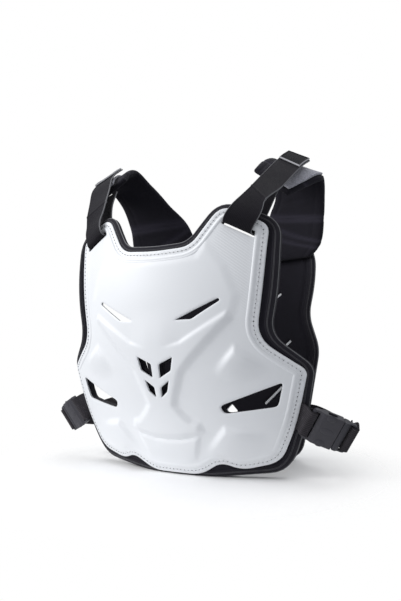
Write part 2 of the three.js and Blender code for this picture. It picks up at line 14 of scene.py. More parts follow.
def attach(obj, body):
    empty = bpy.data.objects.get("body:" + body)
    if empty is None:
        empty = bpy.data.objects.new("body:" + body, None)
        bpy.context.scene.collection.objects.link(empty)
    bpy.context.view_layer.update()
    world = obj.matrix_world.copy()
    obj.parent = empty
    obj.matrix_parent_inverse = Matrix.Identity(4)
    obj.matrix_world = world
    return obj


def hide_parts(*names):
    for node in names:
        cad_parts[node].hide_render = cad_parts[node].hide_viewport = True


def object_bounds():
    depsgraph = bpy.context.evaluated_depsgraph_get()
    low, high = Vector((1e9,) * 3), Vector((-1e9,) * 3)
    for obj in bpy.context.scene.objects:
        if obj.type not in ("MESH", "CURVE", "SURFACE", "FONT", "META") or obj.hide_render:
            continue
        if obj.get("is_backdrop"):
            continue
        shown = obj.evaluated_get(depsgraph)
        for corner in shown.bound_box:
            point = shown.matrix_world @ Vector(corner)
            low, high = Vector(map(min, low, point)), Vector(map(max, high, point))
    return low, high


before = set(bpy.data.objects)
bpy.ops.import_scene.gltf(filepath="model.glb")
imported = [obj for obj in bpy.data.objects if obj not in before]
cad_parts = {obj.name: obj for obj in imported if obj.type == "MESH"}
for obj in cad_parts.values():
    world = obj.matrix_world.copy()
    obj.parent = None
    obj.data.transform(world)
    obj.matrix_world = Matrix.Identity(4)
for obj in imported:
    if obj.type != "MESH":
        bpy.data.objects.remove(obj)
cad_low, cad_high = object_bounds()

# Front liner
# A slab of soft foam between two layers of black knit, cut about a finger's width larger than the shell
# that is sewn to it. Tape is folded over its edge and sewn down, over a thin cord whose pale grey is a
# painted highlight along the edge.
STAND = Matrix.Diagonal((0.001, 0.001, 0.001, 1)) @ Matrix.Translation((0, -132.15, 0))
BODY_RADIUS = 281
CHEST_LEVEL = 261
CHEST_CURVE = 0.00109
BELLY_EASE = 4e-7
SHELL_WALL = 2.5
GAP = 0.4
FRONT_PAD = 12
FRONT_LINER_EDGE = [  # x, z, easing of the corner
    (0, 318.5, 20), (49.5, 322, 15), (88, 379, 24), (164.5, 349, 24), (162.5, 262, 40), (150.5, 198, 22),
    (198, 154.5, 14), (181.5, 80, 34), (155, 11, 34), (100, 6, 20), (52, 0, 6),
]
FRONT_SHELL_EDGE = [  # x, z, easing of the corner
    (0, 312, 20), (54, 316, 16), (92, 373, 20), (151.5, 343, 12), (145.5, 262, 40), (135.5, 193.5, 24),
    (191.3, 150.5, 9), (173.8, 81.6, 34), (147.5, 25, 18), (97, 13, 14), (71, 23, 12), (38, 3, 14),
]
FRONT_VENTS = {  # corners (x, z) of the left one of each pair, easing of the corners
    "brow slot": ([(33.6, 218), (57, 219), (95, 243), (92.5, 246.5)], 2),
    "upper middle": ([(5.8, 159), (28, 169.2), (23.5, 150.4), (5.4, 139.8)], 2),
    "lower middle": ([(19.3, 137.6), (4.8, 127.2), (4, 112.6), (14.6, 121.6)], 2),
    "side vent": ([(81.5, 103), (163, 135.5), (154, 102.5), (86.5, 92.5)], 6),
}
BROW_OPENING = ([(22, 217), (60, 211), (110, 243), (100, 258)], 6)  # in the liner, round the brow slot
SLOT_ENDS = ((94.8, 350), (136.2, 329))
SLOT_HALF = 4.2
LINER_SLOT_GROWTH = 2.4
LINER_CELL = 2.8
CUT_SNAP = 0.15
LINER_ROLL = {"drop": 2, "width": 5}
HOLE_ROLL = {"drop": 1.2, "width": 2.5}
FLARE = {"most": 4.5, "beside": (3, 15), "level": (112, 150)}  # the margin stands forward beside the shell
LINER_SEAM = {"at": 10, "deep": 0.7, "half": 2.4}
TAPE_ROWS = [  # distance inside the edge, height over the padding
    (8.7, -0.6), (8.4, 0.2), (7.4, 0.35), (6.4, 0.3), (5.8, -0.1), (5.2, 0.5), (4.2, 0.7), (2.6, 0.75),
    (1.2, 0.7), (0.2, 0.5), (-0.5, -0.6),
]
TAPE_CELL = 2.5
TAPE_SEWING = [(5.0, 0.75), (3.7, 0.9)]  # distance inside the edge, height over the padding
SEWING_PITCH = 3
SEWING_GREY = (0.085, 0.083, 0.093, 1)
SEWING_RADIUS = 0.36
KNIT_BLACK = (0.0138, 0.0128, 0.0186, 1)
KNIT_PITCH = 0.0012
SEAM_HIGHLIGHT_GAIN = 2.1  # how much paler the knit is under its painted highlight beside the pads' seams
TAPE_BLACK = (0.02, 0.0188, 0.025, 1)
TAPE_PITCH = 0.0008
CORD_HIGHLIGHT_GREY = (0.2, 0.2, 0.21, 1)
CORD_RADIUS = 0.8
CORD_OUT = 0.6
CORD_DEEP = 0.72  # share of the front face in the cord's depth
FLOOR_CLEAR = 0.05


def rounded(corners, steps=7, most=0.45):
    """Closed outline (x, z), its corners eased over a length or at most a share of the edges."""
    points = []
    for i, (x, z, ease_length) in enumerate(corners):
        here = np.array((x, z), float)
        ends = []
        for other in (corners[i - 1], corners[(i + 1) % len(corners)]):
            way = np.array(other[:2]) - here
            length = np.hypot(*way)
            ends.append(here + way / length * min(ease_length, most * length))
        for t in np.linspace(0, 1, steps):
            points.append((1 - t) ** 2 * ends[0] + 2 * t * (1 - t) * here + t ** 2 * ends[1])
    return np.array(points)


def both_halves(half, sideways=0):
    """Outline of a plate from one half of it, moved sideways."""
    other = [(-x, z, length) for x, z, length in reversed(half) if x > 0]
    return rounded([(x + sideways, z, length) for x, z, length in half + other])


def pairs(vents, sideways=0):
    """Outlines of the vents on both sides."""
    return [
        rounded([(side * x + sideways, z, length) for x, z in corners], 4)
        for corners, length in vents.values()
        for side in (1, -1)
    ]


def strap_slots(grow):
    """Outlines of the strap slots, grown all round."""
    inner, outer = np.array(SLOT_ENDS)
    along = (outer - inner) / np.hypot(*(outer - inner))
    up = np.array((-along[1], along[0])) * (SLOT_HALF + grow)
    inner, outer = inner - along * grow, outer + along * grow
    return pairs({"strap slot": ([inner + up, outer + up, outer - up, inner - up], 2)})


def inside_by(points, loop, batch=4000):
    """Distance of points (x, z) inside an outline, negative outside."""
    start, way = loop, np.roll(loop, -1, 0) - loop
    keep = np.hypot(*way.T) > 1e-9
    start, way = start[keep], way[keep]
    found = []
    for some in np.array_split(points, max(1, len(points) // batch)):
        off = some[:, None] - start
        share = np.clip((off * way).sum(2) / (way ** 2).sum(1), 0, 1)
        gap = np.sqrt(((off - share[..., None] * way) ** 2).sum(2)).min(1)
        passes = (off[..., 1] < 0) != (off[..., 1] - way[:, 1] < 0)
        rise = np.where(way[:, 1] == 0, 1, way[:, 1])
        odd = (passes & (off[..., 0] < off[..., 1] / rise * way[:, 0])).sum(1) % 2
        found.append(np.where(odd == 1, gap, -gap))
    return np.concatenate(found)


def split_along(bm, loop, cell):
    """Cuts a flat sheet along an outline."""
    faces = list(bm.faces)
    middles = np.array([face.calc_center_bounds().xz for face in faces])
    near = np.abs(inside_by(middles, loop)) < 2 * cell
    around = {face for face, close in zip(faces, near) if close}
    for start, end in zip(loop, np.roll(loop, -1, 0)):
        start, along = Vector(start), Vector(end - start)
        length = along.length
        if length < 1e-6:
            continue
        along.normalize()
        side = Vector((-along.y, along.x))
        met = []
        for face in around:
            off = face.calc_center_bounds().xz - start
            if abs(off.dot(side)) < 1.5 * cell and -cell < off.dot(along) < length + cell:
                met.append(face)
        edges = {edge for face in met for edge in face.edges}
        verts = {vert for face in met for vert in face.verts}
        made = bmesh.ops.bisect_plane(
            bm, geom=[*verts, *edges, *met], dist=CUT_SNAP, use_snap_center=True,
            plane_co=(start.x, 0, start.y), plane_no=(side.x, 0, side.y))
        around.update(part for part in made["geom"] if isinstance(part, bmesh.types.BMFace))


def doubled(bm):
    """Closes a sheet with a second face behind it: near verts, far verts."""
    near = list(bm.verts)
    made = bmesh.ops.extrude_face_region(bm, geom=bm.faces[:], use_keep_orig=True)
    return near, [part for part in made["geom"] if isinstance(part, bmesh.types.BMVert)]


def slab(outline, holes, cell, near_face, far_face):
    """Slab cut to an outline and pierced by holes, its two faces given by their depths."""
    bm = bmesh.new()
    low, high = outline.min(0) - cell, outline.max(0) + cell
    middle, half = (low + high) / 2, (high - low) / 2
    upright = Matrix.Translation((middle[0], 0, middle[1])) @ Matrix.Rotation(math.pi / 2, 4, "X")
    columns, rows = np.ceil(2 * half / cell).astype(int).tolist()
    bmesh.ops.create_grid(bm, x_segments=columns, y_segments=rows, size=1,
                          matrix=upright @ Matrix.Diagonal((*half, 1, 1)))
    for loop in (outline, *holes):
        split_along(bm, loop, cell)
    faces = list(bm.faces)
    middles = np.array([face.calc_center_median().xz for face in faces])
    keep = inside_by(middles, outline) > 0
    for hole in holes:
        keep &= inside_by(middles, hole) < 0
    bmesh.ops.delete(bm, geom=[f for f, kept in zip(faces, keep) if not kept], context="FACES")
    for verts, depth in zip(doubled(bm), (near_face, far_face)):
        flat = np.array([vert.co.xz for vert in verts])
        for vert, y in zip(verts, depth(flat)):
            vert.co.y = y
    return bm


def ease(value, start, end):
    """0 before start, 1 after end, and smooth between them."""
    t = np.clip((value - start) / (end - start), 0, 1)
    return t * t * (3 - 2 * t)


def rolled(inside, drop, width):
    """How far a rounded edge falls away, by the distance inside it."""
    t = np.clip(1 - inside / width, 0, 1)
    return drop * (1 - np.sqrt(1 - t ** 2))


def seam(distance, deep, half, at=0):
    """Depth of a sewn line, or height of a ridge, that lies at a distance."""
    return deep * np.exp(-((distance - at) / half) ** 2)


def chest_depth(flat):
    """Depth of the plain front plate at points (x, z)."""
    x, rise = flat[:, 0], flat[:, 1] - CHEST_LEVEL
    return x ** 2 / (2 * BODY_RADIUS) + CHEST_CURVE * rise ** 2 + BELLY_EASE * rise ** 3


def behind(face, wall):
    """The face that lies a wall's thickness behind another."""
    def depth(flat):
        across = (face(flat + (1, 0)) - face(flat - (1, 0))) / 2
        up = (face(flat + (0, 1)) - face(flat - (0, 1))) / 2
        return face(flat) + wall * np.sqrt(1 + across ** 2 + up ** 2)
    return depth


def linked(name, data):
    """New object in the scene, at the origin."""
    holder = bpy.data.objects.new(name, data)
    bpy.context.scene.collection.objects.link(holder)
    return holder


def finished(name, bm, finish, sharp=40):
    """Piece in its place in the frame, smooth but for its sharp edges."""
    bmesh.ops.recalc_face_normals(bm, faces=bm.faces)
    bmesh.ops.transform(bm, matrix=STAND, verts=bm.verts)
    mesh = bpy.data.meshes.new(name)
    bm.to_mesh(mesh)
    bm.free()
    mesh.materials.append(finish)
    mesh.shade_smooth()
    mesh.set_sharp_from_angle(angle=math.radians(sharp))
    piece = linked(name, mesh)
    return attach(piece, "root")


class Signal:
    """One socket of a material's nodes; arithmetic on it adds Math nodes."""

    def __init__(self, tree, socket):
        self.tree = tree
        self.socket = socket

    def add(self, kind, settings, inputs, output=0):
        """Adds a node with its settings and the values or links of its sockets."""
        node = self.tree.nodes.new("ShaderNode" + kind)
        for name, value in settings.items():
            setattr(node, name, value)
        for name, value in inputs.items():
            if isinstance(value, Signal):
                self.tree.links.new(value.socket, node.inputs[name])
            else:
                node.inputs[name].default_value = value
        return Signal(self.tree, node.outputs[output])

    def math(self, operation, *values):
        return self.add("Math", {"operation": operation}, dict(enumerate(values)))

    def __add__(self, other):
        return self.math("ADD", self, other)

    def __sub__(self, other):
        return self.math("SUBTRACT", self, other)

    def __rsub__(self, other):
        return self.math("SUBTRACT", other, self)

    def __mul__(self, other):
        return self.math("MULTIPLY", self, other)

    def __abs__(self):
        return self.math("ABSOLUTE", self)

    def sine(self, pitch):
        """Wave from 0 to 1 with a pitch."""
        return self.math("SINE", self * (2 * math.pi / pitch)) * 0.5 + 0.5

    def step(self, start, end):
        """The same as ease, on a socket."""
        return self.add("MapRange", {"interpolation_type": "SMOOTHSTEP"},
                        {"Value": self, "From Min": start, "From Max": end})

    def noise(self, scale, detail=2):
        """Cloudy value from 0 to 1, its scale per metre."""
        return self.add("TexNoise", {}, {"Vector": self, "Scale": scale, "Detail": detail})

    def axes(self):
        """The three parts of a place."""
        return [self.add("SeparateXYZ", {}, {0: self}, k) for k in range(3)]

    def mask(self, name):
        """Value that the mesh holds under a name."""
        return self.add("Attribute", {"attribute_name": name}, {}, 2)

    def chart(self):
        """Places along a band and across it, in metres."""
        return self.add("UVMap", {"uv_map": "length and width"}, {}).axes()[:2]

    def mix(self, first, second):
        """Colour between two others, by this share."""
        return self.add("Mix", {"data_type": "RGBA"}, {0: self, 6: first, 7: second}, 2)

    def bump(self, distance, strength=1):
        """Normal of a surface raised by this value."""
        return self.add("Bump", {}, {"Height": self, "Distance": distance, "Strength": strength})

    def into(self, shader, name):
        self.tree.links.new(self.socket, shader.inputs[name])


def new_finish(name, **constants):
    """New material, its shader with constants set, and the place on the object."""
    material = bpy.data.materials.new(name)
    material.use_nodes = True
    tree = material.node_tree
    shader = tree.nodes["Principled BSDF"]
    for socket, value in constants.items():
        shader.inputs[socket.replace("_", " ")].default_value = value
    place = Signal(tree, tree.nodes.new("ShaderNodeTexCoord").outputs["Object"])
    return material, shader, place


def darker(colour, share):
    """A colour with its light scaled."""
    return (*(share * part for part in colour[:3]), 1)


def knit_cloth(name, colour, pitch, painted_highlight=None):
    """Matt knit: fine loops, uneven dye and a little lint, with a paler painted highlight where a mask is
    set.
    """
    material, shader, place = new_finish(
        name, Sheen_Weight=0.06, Sheen_Roughness=0.5, Specular_IOR_Level=0.12)
    x, y, z = place.axes()
    loops = (x + y).sine(pitch) * (z + y * 0.5).sine(pitch * 0.8)
    cloud = place.noise(45, 4)
    lint = place.noise(900, 1).step(0.62, 0.8)
    share = cloud * 0.7 + loops * 0.35 + lint * 0.25
    cloth = share.mix(darker(colour, 0.7), darker(colour, 1.35))
    if painted_highlight:
        # Painted highlight: the knit is paler where the mask is set.
        cloth = place.mask(painted_highlight).mix(cloth, darker(colour, SEAM_HIGHLIGHT_GAIN))
    cloth.into(shader, "Base Color")
    (cloud * 0.15 + 0.78).into(shader, "Roughness")
    (loops + cloud * 0.8).bump(0.0004, 0.6).into(shader, "Normal")
    return material


def clouded(name, roughness, scale, dark, pale):
    """Plain finish, clouded between two colours."""
    material, shader, place = new_finish(name, Roughness=roughness)
    place.noise(scale).mix(dark, pale).into(shader, "Base Color")
    return material


def cord_round(name, flat, depth, radius, finish):
    """Thin cord on a closed line through points (x, z) at their depths."""
    line = bpy.data.curves.new(name, "CURVE")
    line.dimensions = "3D"
    line.bevel_depth = radius
    line.bevel_resolution = 1
    spline = line.splines.new("POLY")
    spline.points.add(len(flat) - 1)
    spline.use_cyclic_u = True
    for point, (x, z), y in zip(spline.points, flat, depth):
        point.co = (x, y, z, 1)
    holder = bpy.data.objects.new(name, line)
    bm = bmesh.new()
    bm.from_mesh(holder.to_mesh())
    bpy.data.objects.remove(holder)
    return finished(name, bm, finish, 80)


def spaced(loop, spacing, reach=3):
    """Evenly spaced points on an outline, and the way inward from each."""
    ring = np.vstack([loop, loop[:1]])
    run = np.concatenate([[0], np.cumsum(np.hypot(*np.diff(ring, axis=0).T))])
    at = np.linspace(0, run[-1], round(run[-1] / spacing), endpoint=False)
    line = np.column_stack([np.interp(at, run, ring[:, k]) for k in (0, 1)])
    steps = max(1, round(reach / spacing))
    way = np.roll(line, -steps, 0) - np.roll(line, steps, 0)
    way /= np.hypot(*way.T)[:, None]
    inward = np.column_stack([-way[:, 1], way[:, 0]])
    return line, inward * np.sign(inside_by(line + inward, loop).mean())


def followed(loop, inset, pitch, slack=0.4):
    """Evenly spaced points a set distance inside an outline."""
    line, inward = spaced(loop, 1)
    moved = line + inward * inset
    return spaced(moved[np.abs(inside_by(moved, loop)) > abs(inset) - slack], pitch)[0]


def trim(loop, spacing, rows):
    """Band along an outline, in rows: a distance inside it and a depth by (x, z)."""
    line, inward = spaced(loop, spacing)
    spots = []
    for inset, depth in rows:
        flat = line + inward * inset
        spots.append(np.column_stack([flat[:, 0], depth(flat), flat[:, 1]]))
    bm = bmesh.new()
    bmesh.ops.create_grid(bm, x_segments=len(line), y_segments=len(rows) - 1, size=1)
    for vert in bm.verts:
        column = round((vert.co.x + 1) / 2 * len(line)) % len(line)
        vert.co = spots[round((vert.co.y + 1) / 2 * (len(rows) - 1))][column]
    bmesh.ops.remove_doubles(bm, verts=bm.verts, dist=1e-4)
    return bm


def bound(name, edge, front, back):
    """Tape folded over the edge of a liner, with its sewing and the cord under it."""
    rows = []
    for face, way, order in ((front, 1, TAPE_ROWS), (back, -1, TAPE_ROWS[::-1])):
        for inset, height in order:
            fall = way * (rolled(inset, **LINER_ROLL) - height)
            rows.append((inset, lambda flat, face=face, fall=fall: face(flat) + fall))
    bm = trim(edge, TAPE_CELL, rows)
    for vert in bm.verts:
        vert.co.z = max(vert.co.z, FLOOR_CLEAR)
    finished(f"{name}_tape", bm, edge_tape, 50)
    for number, (inset, height) in enumerate(TAPE_SEWING, 1):
        line = followed(edge, inset, SEWING_PITCH)
        sewn = front(line) + rolled(inset, **LINER_ROLL) - height
        cord_round(f"{name}_sewing_{number}", line, sewn, SEWING_RADIUS, sewing)
    # The cord: real piping, its pale grey a painted highlight along the liner's contour.
    line = followed(edge, -CORD_OUT, SEWING_PITCH)
    line[:, 1] = np.maximum(line[:, 1], CORD_RADIUS)
    middle = CORD_DEEP * front(line) + (1 - CORD_DEEP) * back(line)
    cord_round(f"{name}_cord", line, middle, CORD_RADIUS, cord_highlight_grey)


front_liner_edge = both_halves(FRONT_LINER_EDGE)
liner_holes = pairs(FRONT_VENTS | {"brow slot": BROW_OPENING}) + strap_slots(LINER_SLOT_GROWTH)
front_shell_edge = both_halves(FRONT_SHELL_EDGE)


def under_shell(depth):
    """A face of the front liner, behind the shell and eased forward beside it."""
    def face(flat):
        beside = ease(-inside_by(flat, front_shell_edge), *FLARE["beside"])
        beside *= ease(flat[:, 1], *FLARE["level"])
        return behind(chest_depth, depth)(flat) - FLARE["most"] * beside
    return face


liner_front = under_shell(SHELL_WALL + GAP)
liner_back = under_shell(SHELL_WALL + GAP + FRONT_PAD)


def clear_of(flat, inside, holes):
    """Distance from the nearest edge of a plate, its own or a hole's."""
    return np.maximum(np.min([inside] + [-inside_by(flat, hole) for hole in holes], axis=0), 0)


def padding_falls(flat, edge, holes):
    """Fall of a liner's cloth at its rolled edges and its border seam."""
    inside = inside_by(flat, edge)
    at_holes = rolled(clear_of(flat, inside, holes), **HOLE_ROLL) * (inside > LINER_ROLL["width"])
    return rolled(inside, **LINER_ROLL) + at_holes + seam(inside, **LINER_SEAM)


knit = knit_cloth("black knit over foam", KNIT_BLACK, KNIT_PITCH)
bm = slab(front_liner_edge, liner_holes, LINER_CELL,
          lambda flat: liner_front(flat) + padding_falls(flat, front_liner_edge, liner_holes),
          lambda flat: liner_back(flat) - padding_falls(flat, front_liner_edge, liner_holes))
front_liner = finished("front_liner_pad", bm, knit)
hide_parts("front_liner")

# The cord's pale grey is a painted highlight along the liner's outer edge.
cord_highlight_grey, shader, place = new_finish("edge cord, grey as painted highlight", Roughness=0.6)
(place.noise(700) * 1.2 - 0.1).mix(darker(CORD_HIGHLIGHT_GREY, 0.6), CORD_HIGHLIGHT_GREY).into(shader, "Base Color")
place.noise(1500).bump(0.0002, 0.5).into(shader, "Normal")
edge_tape = knit_cloth("black edge tape", TAPE_BLACK, TAPE_PITCH)
sewing = clouded("dark grey thread", 0.7, 900, darker(SEWING_GREY, 0.5), SEWING_GREY)
bound("front_liner", front_liner_edge, liner_front, liner_back)

# Front shell
# One moulding of white polypropylene with raised panels, four small vents and a pair of long ones. Its
# thin rim lies flat on the liner and is sewn to it with white thread through a row of needle holes.
SHELL_CELL = 2.1
RIM = {"flat": 8.4, "step": 3, "height": 1.0, "bead": 11.2, "collar": 14.6}
RIM_CELL = 2.2
RIM_LEAST = 0.3
RIM_FADE = (45, 130)
PANELS = (9.2, 16.2)  # where the raised panels set in, by the distance inside the edge
BEAD_ROWS = [  # distance inside the bead's line, height over the plain curve
    (-3.2, -0.5), (-2.7, 0.2), (-1.9, 1.15), (-0.9, 1.85), (0.3, 2.1), (1.5, 1.9), (2.7, 1.3), (3.7, 0.5),
]
COLLAR_ROWS = [  # distance inside the collar's line, height over the plain curve
    (-4.5, 0.6), (-3, 1.5), (-1.2, 1.95), (0, 2.0), (0.7, 1.85), (1.5, 1.3), (2.2, 0.9), (3, 0.4),
]
COLLAR_LEVELS = (286, 297)
COLLAR_SIDES = (62, 76)
COLLAR_LEAST = 0.02
SHELL_EDGE = {"drop": 0.7, "width": 1.6}
CHEST = (1.8, 14, [  # height, width of the sloping edge, outline (x, z)
    (-30, 298), (24, 298), (63, 302), (75, 320), (99, 289), (115, 249), (110, 228), (100, 219), (46, 170),
    (-30, 166),
])
MIDDLE = (4.4, 12, [
    (-30, 186.5), (20, 186.5), (38.7, 190), (103.5, 230), (106, 221), (52, 166), (37, 149), (24.5, 116),
    (20.6, 102), (29.8, 90), (40.5, 80), (51, 77), (54, 68), (47, 63), (20, 57.5), (-30, 55),
])
BLEND = {"side": (8, 46), "level": (186, 236)}  # where the chest swells out to meet the middle
BELLY = (3.2, 7, [(-30, 49.5), (20, 51.5), (48, 58), (37, 26), (20, 14), (-30, 12)])
BELLY_FADE = (14, 44)
FACETS = [  # apex, ends of its two high edges (x, z), height
    ((109.7, 180.7), (77.4, 142.4), (139, 161), 5.6),
    ((86.1, 72.4), (50.2, 31.5), (121, 66.5), 5.6),
]
FACET_SLOPE = 13
FACET_FADE = 12
HATCH_ZONE = np.array([(79, 318), (92, 345), (134, 326), (131, 262), (124, 214), (118, 246), (104, 288)])
SHELL_WHITE = (0.83, 0.845, 0.87, 1)
HATCH_PITCH = 0.0032
HATCH_EDGE = (-5, 9)
FOOT_MARKS = ((1, 3), (7, 9))  # where the marks of the sewing foot begin and end, inside the edge
THREAD_WHITE = (0.76, 0.77, 0.79, 1)
STITCH = {"inset": 5, "pitch": 5.8, "long": 1.8, "wide": 0.42, "over": 0.05}
NEEDLE_HOLE = 1.05
NEEDLE_FLAT = 0.4
NEEDLE_HOLE_SHADE_GREYS = ((0.04, 0.04, 0.045, 1), (0.13, 0.13, 0.14, 1))


def one_side(flat):
    """Points (x, z) with the right side's folded over to the left."""
    return np.column_stack([np.abs(flat[:, 0]), flat[:, 1]])


def raised(flat, panel):
    """Height of a raised panel, made alike on both sides."""
    height, slope, outline = panel
    reach = inside_by(one_side(flat), np.array(outline, float))
    return height * ease(reach, -slope / 2, slope / 2)


def facet(flat, apex, first, second, height):
    """Height of a wedge, high along two edges from its apex and sinking below them."""
    off = one_side(flat) - apex
    under = np.full(len(flat), np.inf)
    for end, side in ((first, 1), (second, -1)):
        way = np.subtract(end, apex) / math.dist(end, apex)
        under = np.minimum(under, side * (off[:, 1] * way[0] - off[:, 0] * way[1]))
    fade = 1 - ease(np.hypot(*off.T), FACET_FADE, math.dist(first, apex))
    return height * ease(under, -FACET_SLOPE / 2, FACET_SLOPE / 2) * fade


def rim_strength(flat):
    """How boldly the front rim is moulded: less towards the lower edge."""
    return RIM_LEAST + (1 - RIM_LEAST) * ease(flat[:, 1], *RIM_FADE)


def rim_height(inside):
    """Height of a shell inside its flat rim."""
    return RIM["height"] * ease(inside, RIM["flat"], RIM["flat"] + RIM["step"])


def front_panels(flat, inside):
    """Height of the front shell's panels over its plain curve."""
    side, level = np.abs(flat[:, 0]), flat[:, 1]
    swell = (1 - ease(side, *BLEND["side"])) * (1 - ease(level, *BLEND["level"]))
    chest = raised(flat, CHEST) * (1 + swell * (MIDDLE[0] / CHEST[0] - 1))
    belly = raised(flat, BELLY) * ease(level, *BELLY_FADE)
    panels = [chest, raised(flat, MIDDLE), belly] + [facet(flat, *row) for row in FACETS]
    return np.max(panels, axis=0) * ease(inside, *PANELS)


def front_face(flat):
    """The front shell's outer face, with its panels, rim and rounded edges."""
    inside = inside_by(flat, front_shell_edge)
    rim = rim_height(inside) * rim_strength(flat)
    fall = rolled(clear_of(flat, inside, shell_holes), **SHELL_EDGE)
    return chest_depth(flat) - rim - front_panels(flat, inside) + fall


def front_shell_back(flat):
    """Its inner face, which follows the panels."""
    return behind(chest_depth, SHELL_WALL)(flat) - front_panels(flat, inside_by(flat, front_shell_edge))


def sewn_line(name, loop, depth):
    """Stitches along the rim of a shell, with dark discs of painted shade for the needle holes between them.
    """
    line = followed(loop, STITCH["inset"], STITCH["pitch"])
    spots = np.column_stack([line[:, 0], depth(line), line[:, 1]])
    thread, holes = bmesh.new(), bmesh.new()
    for spot, after in zip(spots, np.roll(spots, -1, 0)):
        way = Vector(after - spot)
        turn = way.to_track_quat("X", "Y").to_matrix().to_4x4()
        middle = Matrix.Translation(Vector(spot) + way / 2)
        size = Matrix.Diagonal((STITCH["long"], STITCH["wide"], STITCH["wide"], 1))
        flat = Matrix.Diagonal((1, NEEDLE_FLAT, 1, 1))
        bmesh.ops.create_uvsphere(thread, u_segments=8, v_segments=4, radius=1, matrix=middle @ turn @ size)
        bmesh.ops.create_uvsphere(holes, u_segments=8, v_segments=4, radius=NEEDLE_HOLE,
                                  matrix=Matrix.Translation(spot) @ turn @ flat)
    for suffix, bm, kind in (("thread", thread, white_thread), ("needle_holes", holes, needle_hole_shade)):
        finished(f"{name}_{suffix}", bm, kind, 80)


shell_holes = pairs(FRONT_VENTS) + strap_slots(0)
bm = slab(front_shell_edge, shell_holes, SHELL_CELL, front_face, front_shell_back)
white_plastic, shader, place = new_finish("white moulded plastic", Specular_IOR_Level=0.45)
x, _, z = place.axes()
ridges = (abs(x) * 0.6 + z * 0.8).sine(HATCH_PITCH) * place.mask("hatch")
marks = place.noise(300, 3).step(0.42, 0.68) * place.mask("rim")
cloud = place.noise(14, 3)
share = cloud * 0.25 + ridges * 0.4 + marks * 0.9
share.mix(SHELL_WHITE, darker(SHELL_WHITE, 0.84)).into(shader, "Base Color")
(cloud * 0.14 + place.noise(260) * 0.08 + 0.34).into(shader, "Roughness")
(place.noise(420) * 0.25 + ridges + marks * 0.4).bump(0.00022, 0.7).into(shader, "Normal")
front_shell = finished("front_shell_moulding", bm, white_plastic)
spots = np.array([vert.co.xz for vert in front_shell.data.vertices]) * 1000
ridged = ease(inside_by(one_side(spots), HATCH_ZONE), *HATCH_EDGE)
inside = inside_by(spots, front_shell_edge)
begun, ended = (ease(inside, *reach) for reach in FOOT_MARKS)
for name, value in (("hatch", ridged), ("rim", begun - ended)):
    mask = front_shell.data.attributes.new(name, "FLOAT", "POINT")
    mask.data.foreach_set("value", value.astype(np.float32))
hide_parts("front_shell")


def along_rim(strength, height):
    """Depth of a row of a raised line on the front shell."""
    return lambda flat: chest_depth(flat) - strength(flat) * height - np.minimum(height, 0)


def collar_strength(flat):
    """Where the collar stands up along the neck."""
    return ease(flat[:, 1], *COLLAR_LEVELS) * (1 - ease(np.abs(flat[:, 0]), *COLLAR_SIDES))


for name, inset, rows, strength in (("bead", RIM["bead"], BEAD_ROWS, rim_strength),
                                    ("collar", RIM["collar"], COLLAR_ROWS, collar_strength)):
    line = followed(front_shell_edge, inset, RIM_CELL)
    bm = trim(line, RIM_CELL, [(distance, along_rim(strength, height)) for distance, height in rows])
    hidden = strength(np.array([vert.co.xz for vert in bm.verts])) < COLLAR_LEAST
    bmesh.ops.delete(bm, geom=[vert for vert, under in zip(bm.verts, hidden) if under], context="VERTS")
    finished(f"front_shell_{name}", bm, white_plastic, 60)

white_thread = clouded("white thread", 0.8, 1200, darker(THREAD_WHITE, 0.8), THREAD_WHITE)
# Needle holes: flat dark discs of painted shade, not real holes.
needle_hole_shade = clouded("painted shade of needle holes", 0.9, 600, *NEEDLE_HOLE_SHADE_GREYS)
sewn_line("front_rim", front_shell_edge, lambda flat: chest_depth(flat) - STITCH["over"])

# Back liner
# The same foam and knit as in front, in a narrower cut, with a channel sewn inside its border and short
# slits through which the shell behind it shows.
BACK_DEPTH = 255
BACK_LEVEL = 186
BACK_CURVE = 0.0003
BACK_SHIFT = 10
BACK_PAD = 10
BACK_LINER_EDGE = [  # x, z, easing of the corner
    (0, 338, 20), (44, 342, 16), (62, 364, 14), (136, 356, 18), (157, 320, 18), (153, 278, 20),
    (140, 229, 18), (159, 176, 16), (141, 90, 34), (126, 8, 24), (60, 0, 6),
]
SPINE_VENT = ([(-7, 82), (6, 69), (-7, 55), (-20, 69)], 3)  # corners (x, z), easing of the corners
BACK_SLITS = {
    "upper slit": ([(72, 257), (75, 253), (92, 264), (89, 268)], 2),
    "side slit": ([(88, 177), (91.5, 173), (109, 187), (105.5, 191)], 2),
    "low slit": ([(54.5, 86), (58.5, 81.5), (92, 112), (88, 116.5)], 2),
}
BACK_CHANNEL = {"at": 15, "deep": 2.2, "half": 2.6}


def back_depth(flat):
    """Depth of the back liner's inner face at points (x, z)."""
    return (BACK_DEPTH - (flat[:, 0] - BACK_SHIFT) ** 2 / (2 * BODY_RADIUS)
            - BACK_CURVE * (flat[:, 1] - BACK_LEVEL) ** 2)


back_liner_edge = both_halves(BACK_LINER_EDGE, BACK_SHIFT)
back_holes = pairs({"spine vent": SPINE_VENT}, BACK_SHIFT)[:1]
back_slits = pairs(BACK_SLITS, BACK_SHIFT)
back_liner_holes = back_holes + back_slits
back_liner_back = behind(back_depth, BACK_PAD)


def inner_face(flat):
    """The back liner's face towards the body, with its sewn channel."""
    sunk = padding_falls(flat, back_liner_edge, back_liner_holes)
    return back_depth(flat) + sunk + seam(inside_by(flat, back_liner_edge), **BACK_CHANNEL)


bm = slab(back_liner_edge, back_liner_holes, LINER_CELL, inner_face,
          lambda flat: back_liner_back(flat) - padding_falls(flat, back_liner_edge, back_liner_holes))
back_liner = finished("back_liner_pad", bm, knit)
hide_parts("back_liner")
bound("back_liner", back_liner_edge, back_depth, back_liner_back)

